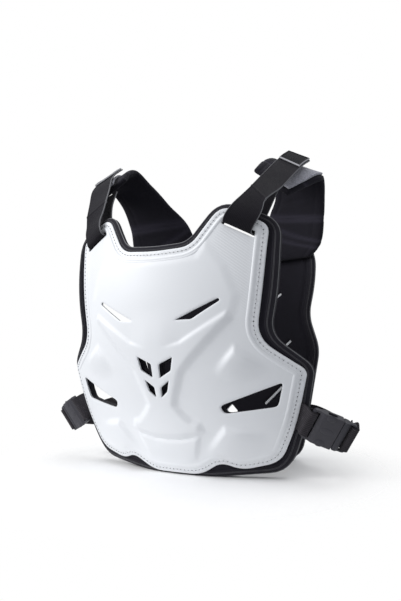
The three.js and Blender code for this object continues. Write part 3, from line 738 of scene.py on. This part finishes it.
# Back shell
# The twin of the front moulding, mostly unseen in the photograph: a plain curved plate with a sewn rim, a
# raised panel along the spine and a vent in it. Its ribs stand in the slits of the liner.
BACK_SHELL_EDGE = [  # x, z, easing of the corner
    (0, 325, 20), (48, 328, 14), (66, 350, 12), (128, 344, 16), (144, 318, 14), (140, 278, 20),
    (127, 229, 18), (146, 174, 10), (128, 90, 34), (114, 21, 20), (50, 12, 10),
]
RIB = {"long": 0.97, "wide": 0.6, "under": 1.5, "cell": 1.5}
SPINE = (1.6, 10, [(-30, 300), (34, 300), (66, 230), (44, 150), (50, 60), (30, 38), (-30, 36)])

back_rim = behind(back_depth, BACK_PAD + GAP + SHELL_WALL)


def back_shell_back(flat):
    """The back shell's outer face, with its rim and its raised panel."""
    inside = inside_by(flat, back_shell_edge)
    panel = raised(flat - (BACK_SHIFT, 0), SPINE) * ease(inside, *PANELS)
    fall = rolled(clear_of(flat, inside, back_holes), **SHELL_EDGE)
    return back_rim(flat) + (rim_height(inside) + panel - fall)


back_shell_edge = both_halves(BACK_SHELL_EDGE, BACK_SHIFT)
bm = slab(back_shell_edge, back_holes, SHELL_CELL, behind(back_depth, BACK_PAD + GAP), back_shell_back)
back_shell = finished("back_shell_moulding", bm, white_plastic)
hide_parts("back_shell")
for number, slit in enumerate(back_slits, 1):
    off = slit - slit.mean(0)
    axis = np.linalg.svd(off)[2][0]
    lengthwise = np.outer(off @ axis, axis)
    rib = slit.mean(0) + lengthwise * RIB["long"] + (off - lengthwise) * RIB["wide"]
    bm = slab(rib, [], RIB["cell"], lambda flat: back_depth(flat) + RIB["under"],
              behind(back_depth, BACK_PAD + GAP + SHELL_WALL / 2))
    finished(f"back_shell_rib_{number}", bm, white_plastic)
sewn_line("back_rim", back_shell_edge, lambda flat: back_rim(flat) + STITCH["over"])

# Shoulder pads
# Foam in a knit cover, sewn to the back liner and curved over the shoulder to the strap. Seams across it
# hold the foam flat, and the cover swells between them.
RIGHT = {"lift": 16, "sway": 15, "fold": 0.35}  # the right shoulder is higher, further out, less folded
SIDES = (("left", 1), ("right", -1))
PAD_ROWS = [  # inner and outer edge (x, depth, z), hang on the back plate, shares of lift and sway
    ((60, 239.3, 318), (164, 200.3, 318), 1, 0, -0.6),
    ((66, 232, 343), (173, 191, 343), 1, 0, -0.6),
    ((79, 216, 384), (178, 186, 373), 1, 0.4, -0.6),
    ((97, 201, 414), (181, 181, 405), 1, 0.8, 0.2),
    ((107, 184, 440), (187, 169, 427), 0.7, 1, 0.8),
    ((114, 158, 463), (192, 149, 422), 0.3, 1, 1),
    ((111, 132, 455.5), (178.5, 130, 410), 0.1, 1, 1),
    ((106, 111, 438), (156.5, 112, 396), 0, 1, 1),
]
PAD_OUTER_LIFT = 1.75  # how much more the outer edge is lifted than the inner one
PAD_GRID = (84, 34)  # faces along it and across it
PAD_HALF = 5.2
PAD_EDGE_HALF = 2.6
PAD_ROLL = 0.2  # share of half the width in which the edge is rounded
PAD_LONG = 4  # its length in half widths
PAD_SEAMS = [  # share along the pad at the inner edge and at the outer edge
    (0.316, 0.297), (0.293, 0.274), (0.272, 0.125), (0.225, 0.075), (0.86, 0.86),
]
PAD_SEAM = {"deep": 2.2, "half": 0.008}
PAD_BORDER = {"at": 0.7, "deep": 0.9, "half": 0.035}
PAD_SEAM_HIGHLIGHT = {"at": 0.003, "deep": 1, "half": 0.012}  # where a painted highlight lies on the cloth beside a seam
PAD_HELD = {"edge": 0.97, "end": 0.49, "border": 0.02}  # shares of the cover that stay still
PAD_CORNER = {"length": 0.13, "narrower": 0.3}
PAD_PRESSURE = 6
PAD_FRAMES = 20
PAD_SWELL = 0.0032


def unit(vectors):
    """A vector, or each of several, scaled to a length of 1."""
    return vectors / np.linalg.norm(vectors, axis=-1, keepdims=True)


def through(points, shares):
    """Points at shares from 0 to 1 along a smooth line through others."""
    points = np.array(points, float)
    ends = np.vstack([2 * points[0] - points[1], points, 2 * points[-1] - points[-2]])
    found = []
    for share in np.clip(shares, 0, 1) * (len(points) - 1):
        k = min(int(share), len(points) - 2)
        p0, p1, p2, p3 = ends[k:k + 4]
        d0, d1, d2 = (max(np.linalg.norm(b - a), 1e-8) ** 0.5 for a, b in ((p0, p1), (p1, p2), (p2, p3)))
        t1 = ((p1 - p0) / d0 - (p2 - p0) / (d0 + d1) + (p2 - p1) / d1) * d1
        t2 = ((p2 - p1) / d1 - (p3 - p1) / (d1 + d2) + (p3 - p2) / d2) * d1
        t = share - k
        bend, swing = 3 * (p2 - p1) - 2 * t1 - t2, 2 * (p1 - p2) + t1 + t2
        found.append(p1 + t1 * t + bend * t ** 2 + swing * t ** 3)
    return np.array(found)


def band(columns, lines, middles, acrosses, near_half, far_half, width=None):
    """Closed band along a smooth line, with a map of its length and width. Its half thicknesses go by the
    share along it (0 to 1) and across it (-1 to 1), its width by the first."""
    bm = bmesh.new()
    bmesh.ops.create_grid(bm, x_segments=columns, y_segments=lines, size=1)
    near, far = doubled(bm)
    shares = np.linspace(0, 1, columns + 1)
    line, cross = through(middles, shares), through(acrosses, shares)
    length = np.linalg.norm(np.diff(line, axis=0), axis=1).sum()
    wide = 2 * np.linalg.norm(cross, axis=1).mean()
    if width:
        cross *= width(shares)[:, None]
    normal = unit(np.cross(cross, np.gradient(line, axis=0)))
    chart = bm.loops.layers.uv.new("length and width")
    for face in bm.faces:
        for corner in face.loops:
            u, v = corner.vert.co.xy
            corner[chart].uv = ((u + 1) / 2 * length / 1000, v / 2 * wide / 1000)
    for verts, half, way in ((near, near_half, 1), (far, far_half, -1)):
        spots = np.array([vert.co.xy for vert in verts])
        share, v = (spots[:, 0] + 1) / 2, spots[:, 1]
        k = np.rint(share * columns).astype(int)
        placed = line[k] + cross[k] * v[:, None] + normal[k] * (way * half(share, v))[:, None]
        for vert, spot in zip(verts, placed):
            vert.co = spot
    return bm


def on_side(point, sign, hang=0, lift=0, sway=0):
    """A point of the left side's table on either side."""
    x, y, z = point
    if sign < 0:
        x, z = x + RIGHT["sway"] * sway, z + RIGHT["lift"] * lift
    return np.array((sign * x + BACK_SHIFT * hang, y, z))


def pad_line(sign):
    """Middle line of a shoulder pad and half its width, row by row."""
    edges = [
        (on_side(inner, sign, hang, lift, sway), on_side(outer, sign, hang, lift * PAD_OUTER_LIFT, sway))
        for inner, outer, hang, lift, sway in PAD_ROWS
    ]
    return [(a + b) / 2 for a, b in edges], [(b - a) / 2 for a, b in edges]


def seam_gap(share, v):
    """Share of the pad's length from the nearest seam across it."""
    gaps = [np.abs(share - (inner + (outer - inner) * (v + 1) / 2)) for inner, outer in PAD_SEAMS]
    return np.min(gaps, axis=0)


def pad_half(share, v):
    """Half thickness of a pad as cut: thin at its edges and seams."""
    edge = np.minimum(1 - np.abs(v), np.minimum(share, 1 - share) * PAD_LONG)
    full = PAD_HALF - rolled(edge, PAD_HALF - PAD_EDGE_HALF, PAD_ROLL)
    return full - np.maximum(seam(seam_gap(share, v), **PAD_SEAM), seam(np.abs(v), **PAD_BORDER))


def pad_width(share):
    """Width of a pad, narrower towards its lower end."""
    return 1 - PAD_CORNER["narrower"] * np.clip(1 - share / PAD_CORNER["length"], 0, 1) ** 2


def swollen(piece, held):
    """Lets the cover of a pad swell, by a limited distance, between the verts that are held."""
    rest = np.array([vert.co for vert in piece.data.vertices])
    seams = piece.vertex_groups.new(name="seams")
    seams.add(held, 1, "REPLACE")
    cloth = piece.modifiers.new("cover", "CLOTH")
    cloth.settings.use_pressure = True
    cloth.settings.uniform_pressure_force = PAD_PRESSURE
    cloth.settings.effector_weights.gravity = 0
    cloth.settings.vertex_group_mass = seams.name
    cloth.point_cache.frame_end = PAD_FRAMES
    for number in range(1, PAD_FRAMES + 1):
        bpy.context.scene.frame_set(number)
    shown = piece.evaluated_get(bpy.context.evaluated_depsgraph_get()).data
    move = np.array([vert.co for vert in shown.vertices]) - rest
    reach = np.linalg.norm(move, axis=1)[:, None]
    move *= np.minimum(1, PAD_SWELL / np.maximum(reach, 1e-9))
    piece.modifiers.remove(cloth)
    piece.vertex_groups.remove(seams)
    bpy.context.scene.frame_set(1)
    piece.data.vertices.foreach_set("co", (rest + move).astype(np.float32).ravel())
    piece.data.update()


quilted_knit = knit_cloth("black knit over pads", KNIT_BLACK, KNIT_PITCH, "painted_seam_highlight")
for side, sign in SIDES:
    bm = band(*PAD_GRID, *pad_line(sign), pad_half, pad_half, pad_width)
    pad = finished(f"shoulder_pad_{side}_cover", bm, quilted_knit, 70)
    spots = np.zeros((len(pad.data.loops), 2), np.float32)
    pad.data.uv_layers[0].uv.foreach_get("vector", spots.ravel())
    share, v = (spots / spots.max(0)).T
    gap = seam_gap(share, v)
    # Paler knit beside each seam: a painted highlight for the light on the swollen cover's edges.
    painted_seam_highlight = pad.data.attributes.new("painted_seam_highlight", "FLOAT", "CORNER")
    painted_seam_highlight.data.foreach_set("value", seam(gap, **PAD_SEAM_HIGHLIGHT).astype(np.float32))
    corners = np.zeros(len(pad.data.loops), int)
    pad.data.loops.foreach_get("vertex_index", corners)
    still = (gap < PAD_SEAM["half"]) | (np.abs(v) > PAD_HELD["edge"])
    still |= np.abs(share - 0.5) > PAD_HELD["end"]
    still |= np.abs(np.abs(v) - PAD_BORDER["at"]) < PAD_HELD["border"]
    swollen(pad, np.unique(corners[still]).tolist())
    rounding = pad.modifiers.new("rounding", "SUBSURF")
    rounding.levels = rounding.render_levels = 1
    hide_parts(f"shoulder_pad_{side}")

# Pile strips
# Grey brushed loop pile, cut to a strip and sewn on the outer half of the pad's front slope, where the
# strap's hook face takes hold of it.
PILE = {"from": 0.62, "to": 0.98, "middle": 0.29, "reach": 0.59, "half": 0.9, "under": 1.6, "uneven": 0.22}
PILE_LIFT = 8
PILE_GRID = (60, 40)
PILE_ROLL = {"drop": 0.5, "width": 0.06}
PILE_WAVES = ((91, 7), (5, 67))  # along the strip, across it
PILE_GREY = (0.36, 0.362, 0.41, 1)

pile, shader, place = new_finish("grey loop pile", Sheen_Weight=0.5, Sheen_Roughness=0.4, Roughness=1)
tufts = place.noise(480, 4)
(tufts * 1.6 - 0.3).mix(darker(PILE_GREY, 0.45), darker(PILE_GREY, 1.5)).into(shader, "Base Color")
tufts.bump(0.0012).into(shader, "Normal")


def lifted(middles, acrosses, shares, lift):
    """Part of a band's middle line, lifted off its face, and half its width there."""
    line, cross = through(middles, shares), through(acrosses, shares)
    return line + lift * unit(np.cross(cross, np.gradient(line, axis=0))), cross


def from_edge(share, v):
    """Share of half the width or length from the nearest edge of a band."""
    return np.minimum(1 - np.abs(v), 1 - np.abs(2 * share - 1))


def tufted(share, v):
    """Half thickness of the pile, with pressed edges and uneven loops."""
    waves = [np.sin(share * lengthwise + v * crosswise) for lengthwise, crosswise in PILE_WAVES]
    return PILE["half"] + PILE["uneven"] * waves[0] * waves[1] - rolled(from_edge(share, v), **PILE_ROLL)


def backing(share, v):
    """Half thickness on its other face, down to the pad."""
    return tufted(share, v) + PILE["under"]


for side, sign in SIDES:
    shares = np.linspace(PILE["from"], PILE["to"], 9)
    line, cross = lifted(*pad_line(sign), shares, -sign * PILE_LIFT)
    line += cross * PILE["middle"]
    cross *= PILE["reach"]
    bm = band(*PILE_GRID, line, cross, *((backing, tufted) if sign > 0 else (tufted, backing)))
    strip = finished(f"pile_strip_{side}_felt", bm, pile, 80)
    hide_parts(f"pile_strip_{side}")

# Shoulder straps
# Flat woven ribbon with bound edges: from the pad's front end down behind the shell, out through its slot
# and folded back up over the pad, where its hook face holds on the pile.
STRAP_HALF_WIDTH = 21
STRAP_HALF = 1.0
STRAP_GRID = (240, 40)
SLOT_LINE = np.array((0.837, 0.347, -0.429))
TOP_LINE = np.array((0.865, -0.16, -0.475))
FOLD_LINE = np.array((0.676, -0.433, -0.638))
STRAP_ROWS = [  # middle (x, depth, z), shares of the turn to the shoulder's line, of the fold, lift and sway
    ((128.5, 103.4, 410.5), 1, 0, 0.9, 1.5), ((125.5, 82, 388), 0.6, 0, 0.5, 1.1),
    ((121, 66, 366), 0.2, 0, 0.2, 0.5), ((117, 58.5, 349), 0, 0, 0, 0.1), ((116, 50.5, 340.4), 0, 0, 0, 0),
    ((115.5, 38, 338.8), 0, 0, 0, 0), ((115.3, 25.5, 340.4), 0, 0, 0, 0), ((118.6, 25.4, 348.5), 0, 0, 0, 0),
    ((125, 31, 361), 0, 0.3, 0, -0.1), ((131, 39.5, 373.5), 0.1, 0.65, 0.1, -0.3),
    ((136.5, 50.5, 388.5), 0.35, 1, 0.3, -0.3), ((145.5, 77.5, 409.5), 0.75, 0.5, 0.7, 0.1),
    ((153, 104.5, 432), 0.95, 0.25, 1, 0.6), ((158, 128, 449), 1, 0.2, 1, 0.75),
    ((161, 152, 462), 1, 0, 1, 0.9),
]
CREASE = {"at": 10 / 14, "deep": 1.3, "half": 0.003}  # at the eleventh of the fifteen rows
STRAP_BLACK = (0.011, 0.0102, 0.0132, 1)
STRAP_EDGE_HIGHLIGHT_GREY = (0.16, 0.16, 0.17, 1)
STRAP_EDGE_HIGHLIGHT_FROM = 0.0198
BINDING = {"high": 0.25, "rise": (0.86, 0.92)}
RIBBON_ROLL = {"drop": 0.6, "width": 0.05}


def woven(name, colour, edge_colour, edge_from, rib, contrast):
    """Woven ribbon with ribs along it and its edge in another colour: a painted highlight on the strap's
    bound edges, a darker edge on the webbing.
    """
    material, shader, place = new_finish(
        name, Sheen_Weight=0.05, Sheen_Roughness=0.4, Specular_IOR_Level=0.08)
    u, v = place.chart()
    ribs = v.sine(rib)
    picks = u.sine(0.0011)
    cloud = place.noise(60, 3)
    edge = abs(v).step(edge_from, edge_from + 0.0006)
    share = ribs * 0.5 + picks * 0.2 + cloud * 0.5
    cloth = share.mix(darker(colour, 1 - contrast), darker(colour, 1 + contrast))
    # On the strap this edge colour is a painted highlight; on the webbing it is a darker edge.
    edge.mix(cloth, edge_colour).into(shader, "Base Color")
    (cloud * 0.2 + 0.62).into(shader, "Roughness")
    (ribs + picks * 0.5).bump(0.0003, 0.7).into(shader, "Normal")
    return material


def ribbon_half(share, v):
    """Half thickness of the strap, fuller in its bound edges and along its crease."""
    binding = BINDING["high"] * ease(np.abs(v), *BINDING["rise"])
    return STRAP_HALF + seam(share, **CREASE) + binding - rolled(1 - np.abs(v), **RIBBON_ROLL)


def strap_line(sign):
    """Middle line of a shoulder strap and half its width, row by row."""
    most = 1 if sign > 0 else RIGHT["fold"]
    spots, crosses = [], []
    for spot, turn, fold, lift, sway in STRAP_ROWS:
        spots.append(on_side(spot, sign, 0, lift, sway))
        flat = unit(SLOT_LINE + (TOP_LINE - SLOT_LINE) * turn)
        crosses.append(unit(flat + (FOLD_LINE - flat) * fold * most) * STRAP_HALF_WIDTH * (sign, 1, 1))
    return spots, crosses


# The pale grey along the strap's bound edges is a painted highlight.
strap_cloth = woven(
    "black ribbon with bound edges and painted edge highlight", STRAP_BLACK, STRAP_EDGE_HIGHLIGHT_GREY, STRAP_EDGE_HIGHLIGHT_FROM, rib=0.0021, contrast=0.4)
for side, sign in SIDES:
    bm = band(*STRAP_GRID, *strap_line(sign), ribbon_half, ribbon_half)
    strap = finished(f"shoulder_strap_{side}_ribbon", bm, strap_cloth, 60)
    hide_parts(f"shoulder_strap_{side}")

# Strap end patches
# Soft rubber, moulded with a raised frame and a plain field, and sewn on the free end of each strap.
PATCH = {"from": 0.905, "half_width": 20, "lift": 2.8, "half": 1.0, "frame": 0.5}
PATCH_GRID = (60, 60)
PATCH_FRAME = ((0.02, 0.06), (0.14, 0.2))  # where the frame rises and sinks again, in shares from the edge
PATCH_HIGHLIGHT_EDGES = {"sides": (0.0186, 0.0194), "end": (0.0006, 0.0014)}
PATCH_BLACK = (0.008, 0.008, 0.01, 1)
PATCH_HIGHLIGHT_GREY = (0.4, 0.4, 0.42, 1)

rubber, shader, place = new_finish("soft black rubber", Specular_IOR_Level=0.03)
u, v = place.chart()
grain = place.noise(1800)
# Pale lines along the patch's sides and end: a painted highlight on its edges.
painted_highlight = abs(v).step(*PATCH_HIGHLIGHT_EDGES["sides"]) + 1 - u.step(*PATCH_HIGHLIGHT_EDGES["end"])
field = (grain * 0.6 + place.noise(120) * 0.4).mix(darker(PATCH_BLACK, 0.7), darker(PATCH_BLACK, 1.5))
painted_highlight.mix(field, PATCH_HIGHLIGHT_GREY).into(shader, "Base Color")
(grain * 0.2 + 0.5).into(shader, "Roughness")
grain.bump(0.0002, 0.5).into(shader, "Normal")


def patch_half(share, v):
    """Half thickness of a patch: a frame round a plain field, with rounded edges."""
    edge = from_edge(share, v)
    risen, sunk = (ease(edge, *slope) for slope in PATCH_FRAME)
    return PATCH["half"] + PATCH["frame"] * (risen - sunk) - rolled(edge, **RIBBON_ROLL)


for side, sign in SIDES:
    shares = np.linspace(PATCH["from"], 1, 6)
    line, cross = lifted(*strap_line(sign), shares, sign * PATCH["lift"])
    bm = band(*PATCH_GRID, line, PATCH["half_width"] * unit(cross), patch_half, patch_half)
    patch = finished(f"strap_patch_{side}_rubber", bm, rubber, 60)
    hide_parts(f"strap_patch_{side}")

# Side buckles
# Side-release buckles in dark acetal: a socket that holds the front webbing, and a plug whose two prongs
# snap into its windows; the plug is coloured darker than the socket. Their edges are rounded, and the
# socket's face has raised ovals, each ringed by a thin darker oval of painted shade where its fine groove
# would be.
BUCKLE_AT = Vector((187.2, 86, 82.4))
BUCKLE_ALONG = Vector((0.767, 0.466, -0.36)).normalized()
BUCKLE_ACROSS = Vector((0.516, -0.188, 0.833))
BUCKLE_EDGE = {"offset": 0.0007, "segments": 3, "profile": 0.5}
BUCKLE_FLAT = math.radians(3)
BUCKLE_CRISP = math.radians(35)
BUCKLE_FACE = 6
BOSSES = [  # name, place along the buckle and across it, half length, half width, height over the face
    ("lens", 27, 0, 9.5, 4.4, 0.7),
    ("upper_button", 25.5, 19.5, 6.5, 4.6, 0.9),
    ("lower_button", 25.5, -19.5, 6.5, 4.6, 0.9),
]
GROOVE_SHADE = {"wider": 0.7, "high": 0.18}
BUCKLE_GREY = (0.036, 0.034, 0.043, 1)
PLUG_AND_GROOVE_SHADE_GREY = (0.027, 0.0265, 0.035, 1)


def acetal(name, colour):
    """Satin moulded plastic with a fine grain."""
    material, shader, place = new_finish(name, Specular_IOR_Level=0.5)
    grain, cloud = place.noise(1500), place.noise(90, 3)
    (grain * 0.4 + cloud * 0.6).mix(darker(colour, 0.75), darker(colour, 1.3)).into(shader, "Base Color")
    (grain * 0.12 + cloud * 0.1 + 0.34).into(shader, "Roughness")
    grain.bump(0.00015, 0.4).into(shader, "Normal")
    return material


buckle_grey, plug_darker_and_groove_shade = acetal("charcoal acetal", BUCKLE_GREY), acetal("plug grey and painted groove shade", PLUG_AND_GROOVE_SHADE_GREY)
buckle_across = (BUCKLE_ACROSS - BUCKLE_ACROSS.project(BUCKLE_ALONG)).normalized()
buckle_out = BUCKLE_ALONG.cross(buckle_across)
buckle_stand = Matrix((BUCKLE_ALONG, buckle_across, buckle_out)).transposed().to_4x4()
buckle_stand.translation = BUCKLE_AT
for side, sign in SIDES:
    for part, plastic in (("socket", buckle_grey), ("plug", plug_darker_and_groove_shade)):
        node = f"buckle_{part}_{side}"
        bm = bmesh.new()
        bm.from_mesh(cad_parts[node].data)
        bmesh.ops.remove_doubles(bm, verts=bm.verts, dist=1e-5)
        bmesh.ops.dissolve_limit(bm, angle_limit=BUCKLE_FLAT, verts=bm.verts, edges=bm.edges)
        crisp = [edge for edge in bm.edges if edge.calc_face_angle(0) > BUCKLE_CRISP]
        bmesh.ops.bevel(bm, geom=crisp, affect="EDGES", material=-1, clamp_overlap=True, **BUCKLE_EDGE)
        bmesh.ops.transform(bm, matrix=STAND.inverted(), verts=bm.verts)
        moulding = finished(f"{node}_moulding", bm, plastic, 35)
        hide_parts(node)
    for name, far, over, long, wide, high in BOSSES:
        # Each boss sits on a slightly wider, thin dark oval: painted shade for the groove round it.
        for suffix, grow, rise, plastic in (("", 0, high, buckle_grey),
                                            ("_groove_shade", GROOVE_SHADE["wider"], GROOVE_SHADE["high"], plug_darker_and_groove_shade)):
            bm = bmesh.new()
            size = Matrix.Diagonal((long + grow, wide + grow, rise, 1))
            place = Matrix.Translation((far, over, BUCKLE_FACE))
            bmesh.ops.create_uvsphere(bm, u_segments=40, v_segments=12, radius=1, matrix=place @ size)
            bmesh.ops.transform(bm, matrix=Matrix.Diagonal((sign, 1, 1, 1)) @ buckle_stand, verts=bm.verts)
            finished(f"buckle_{name}{suffix}_{side}", bm, plastic, 60)

# Side webbing
# Ribbed nylon webbing: sewn under the edge of each plate and looped through the bar of its half of the
# buckle, with the short end turned back behind.
WEBBING_HALF_WIDTH = 19
WEBBING_HALF = 0.82
WEBBING_LINES = 84
WEBBING_RIBS = {"count": 14, "high": 0.3}
WEBBING_ROLL = {"drop": 0.5, "width": 0.04}
WEBBING_BLACK = (0.036, 0.033, 0.0375, 1)
EDGE_LINE = np.array((0.295, -0.137, 0.945))
BACK_EDGE_LINE = np.array((0.2, 0.06, 0.978))
FRONT_WEBBING = [  # sewn end: middle (x, depth, z), share of the turn to the buckle, hang and lift
    ((173.5, 87.3, 90), 0, 0, 0), ((178.2, 88, 88.4), 0, 0, 0), ((182, 85, 86), 0.45, 0, 0),
]
FRONT_LOOP = [  # along the buckle, out of its face
    (-2.5, 4.6), (2.2, 5), (6.2, 3.8), (7.3, 0), (6.2, -3.8), (2.2, -5), (-2.5, -4.6),
]
BACK_WEBBING = [
    ((132, 235.5, 70), 0, 1, 1), ((143, 230.5, 69.5), 0, 1, 1), ((164, 215, 66.5), 0.2, 0.8, 1),
    ((198, 190, 59), 0.6, 0.3, 0.8), ((222, 158, 58.5), 0.9, 0, 0.2),
]
BACK_LOOP = [
    (67.5, -16), (66, -3), (64.8, 3.4), (60.8, 5), (57, 3.6), (56.2, 0), (56.6, -6), (58.5, -16),
]


def ribbed_half(share, v):
    """Half thickness of the webbing, with ribs along it and a thin selvedge."""
    ribs = WEBBING_RIBS["high"] * np.abs(np.sin(v * WEBBING_RIBS["count"] * math.pi / 2))
    return WEBBING_HALF + ribs - rolled(1 - np.abs(v), **WEBBING_ROLL)


nylon = woven("black ribbed nylon", WEBBING_BLACK, darker(WEBBING_BLACK, 0.8), edge_from=0.0184, rib=0.0027,
              contrast=0.6)
for side, sign in SIDES:
    for name, sewn, edge, loop, columns in (("front", FRONT_WEBBING, EDGE_LINE, FRONT_LOOP, 60),
                                            ("back", BACK_WEBBING, BACK_EDGE_LINE, BACK_LOOP, 80)):
        rows = [on_side(spot, sign, *stance) for spot, _, *stance in sewn]
        rows += [on_side(BUCKLE_AT + BUCKLE_ALONG * far + buckle_out * up, sign) for far, up in loop]
        over = np.array(buckle_across)
        ways = [edge + (over - edge) * turn for _, turn, *_ in sewn] + [over] * len(loop)
        crosses = [unit(way) * WEBBING_HALF_WIDTH * (sign, 1, 1) for way in ways]
        bm = band(columns, WEBBING_LINES, rows, crosses, ribbed_half, ribbed_half)
        webbing = finished(f"{name}_webbing_{side}_weave", bm, nylon, 60)
        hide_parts(f"{name}_webbing_{side}")

# Studio
# A pale floor that runs out into a white background, a large soft light from the upper left, a broad one
# overhead, and the camera a little below the middle of the chest.
FLOOR_REACH = 0.7
FLOOR_FADE = (0.12, 0.36)
FLOOR_GREYS = ((0.93, 0.93, 0.93, 1), (0.95, 0.95, 0.95, 1))
SKY = ((0.465, 0.477, 0.5, 1), (1, 1, 1, 1))  # the light it gives, what the camera sees
EYE = (0.4175, -0.80205, 0.1936)
TARGET = (0.0740, -0.13215, 0.2425)
ROLL = math.radians(-0.326)
LENS = 34.848
SENSOR = 36
LIT = (0, 0, 0.25)
LIGHTS = [  # name, place, size, power
    ("key", (-1.75, -1.6, 1.35), 1.5, 58),
    ("overhead", (0.1, 0.45, 2.3), 2.4, 27),
]


def aimed(name, data, spot, target, roll=0):
    """Light or camera that looks from its spot at a target."""
    holder = linked(name, data)
    turn = (Vector(spot) - Vector(target)).to_track_quat("Z", "Y").to_matrix()
    holder.matrix_world = Matrix.LocRotScale(Vector(spot), turn @ Matrix.Rotation(roll, 3, "Z"), None)
    return holder


bm = bmesh.new()
bmesh.ops.create_grid(bm, x_segments=8, y_segments=8, size=FLOOR_REACH)
mesh = bpy.data.meshes.new("floor")
bm.to_mesh(mesh)
bm.free()
pale, shader, place = new_finish("pale floor", Roughness=0.8, Specular_IOR_Level=0.1)
place.noise(3).mix(*FLOOR_GREYS).into(shader, "Base Color")
reach = place.add("VectorMath", {"operation": "LENGTH"}, {0: place}, 1)
(1 - reach.step(*FLOOR_FADE)).into(shader, "Alpha")
mesh.materials.append(pale)
floor = linked("floor", mesh)
floor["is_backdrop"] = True

for name, spot, size, power in LIGHTS:
    lamp = bpy.data.lights.new(name, "AREA")
    lamp.size = size
    lamp.energy = power
    aimed(name, lamp, spot, LIT)

world = bpy.data.worlds.new("studio")
bpy.context.scene.world = world
world.use_nodes = True
sky = world.node_tree.nodes["Background"]
seen = Signal(world.node_tree, world.node_tree.nodes.new("ShaderNodeLightPath").outputs["Is Camera Ray"])
seen.mix(*SKY).into(sky, "Color")
bpy.context.scene.view_settings.view_transform = "Standard"

camera = bpy.data.cameras.new("camera")
camera.lens = LENS
camera.sensor_width = SENSOR
bpy.context.scene.camera = aimed("camera", camera, EYE, TARGET, ROLL)

low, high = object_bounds()
{"cad": [list(cad_low), list(cad_high)], "visual": [list(low), list(high)]}
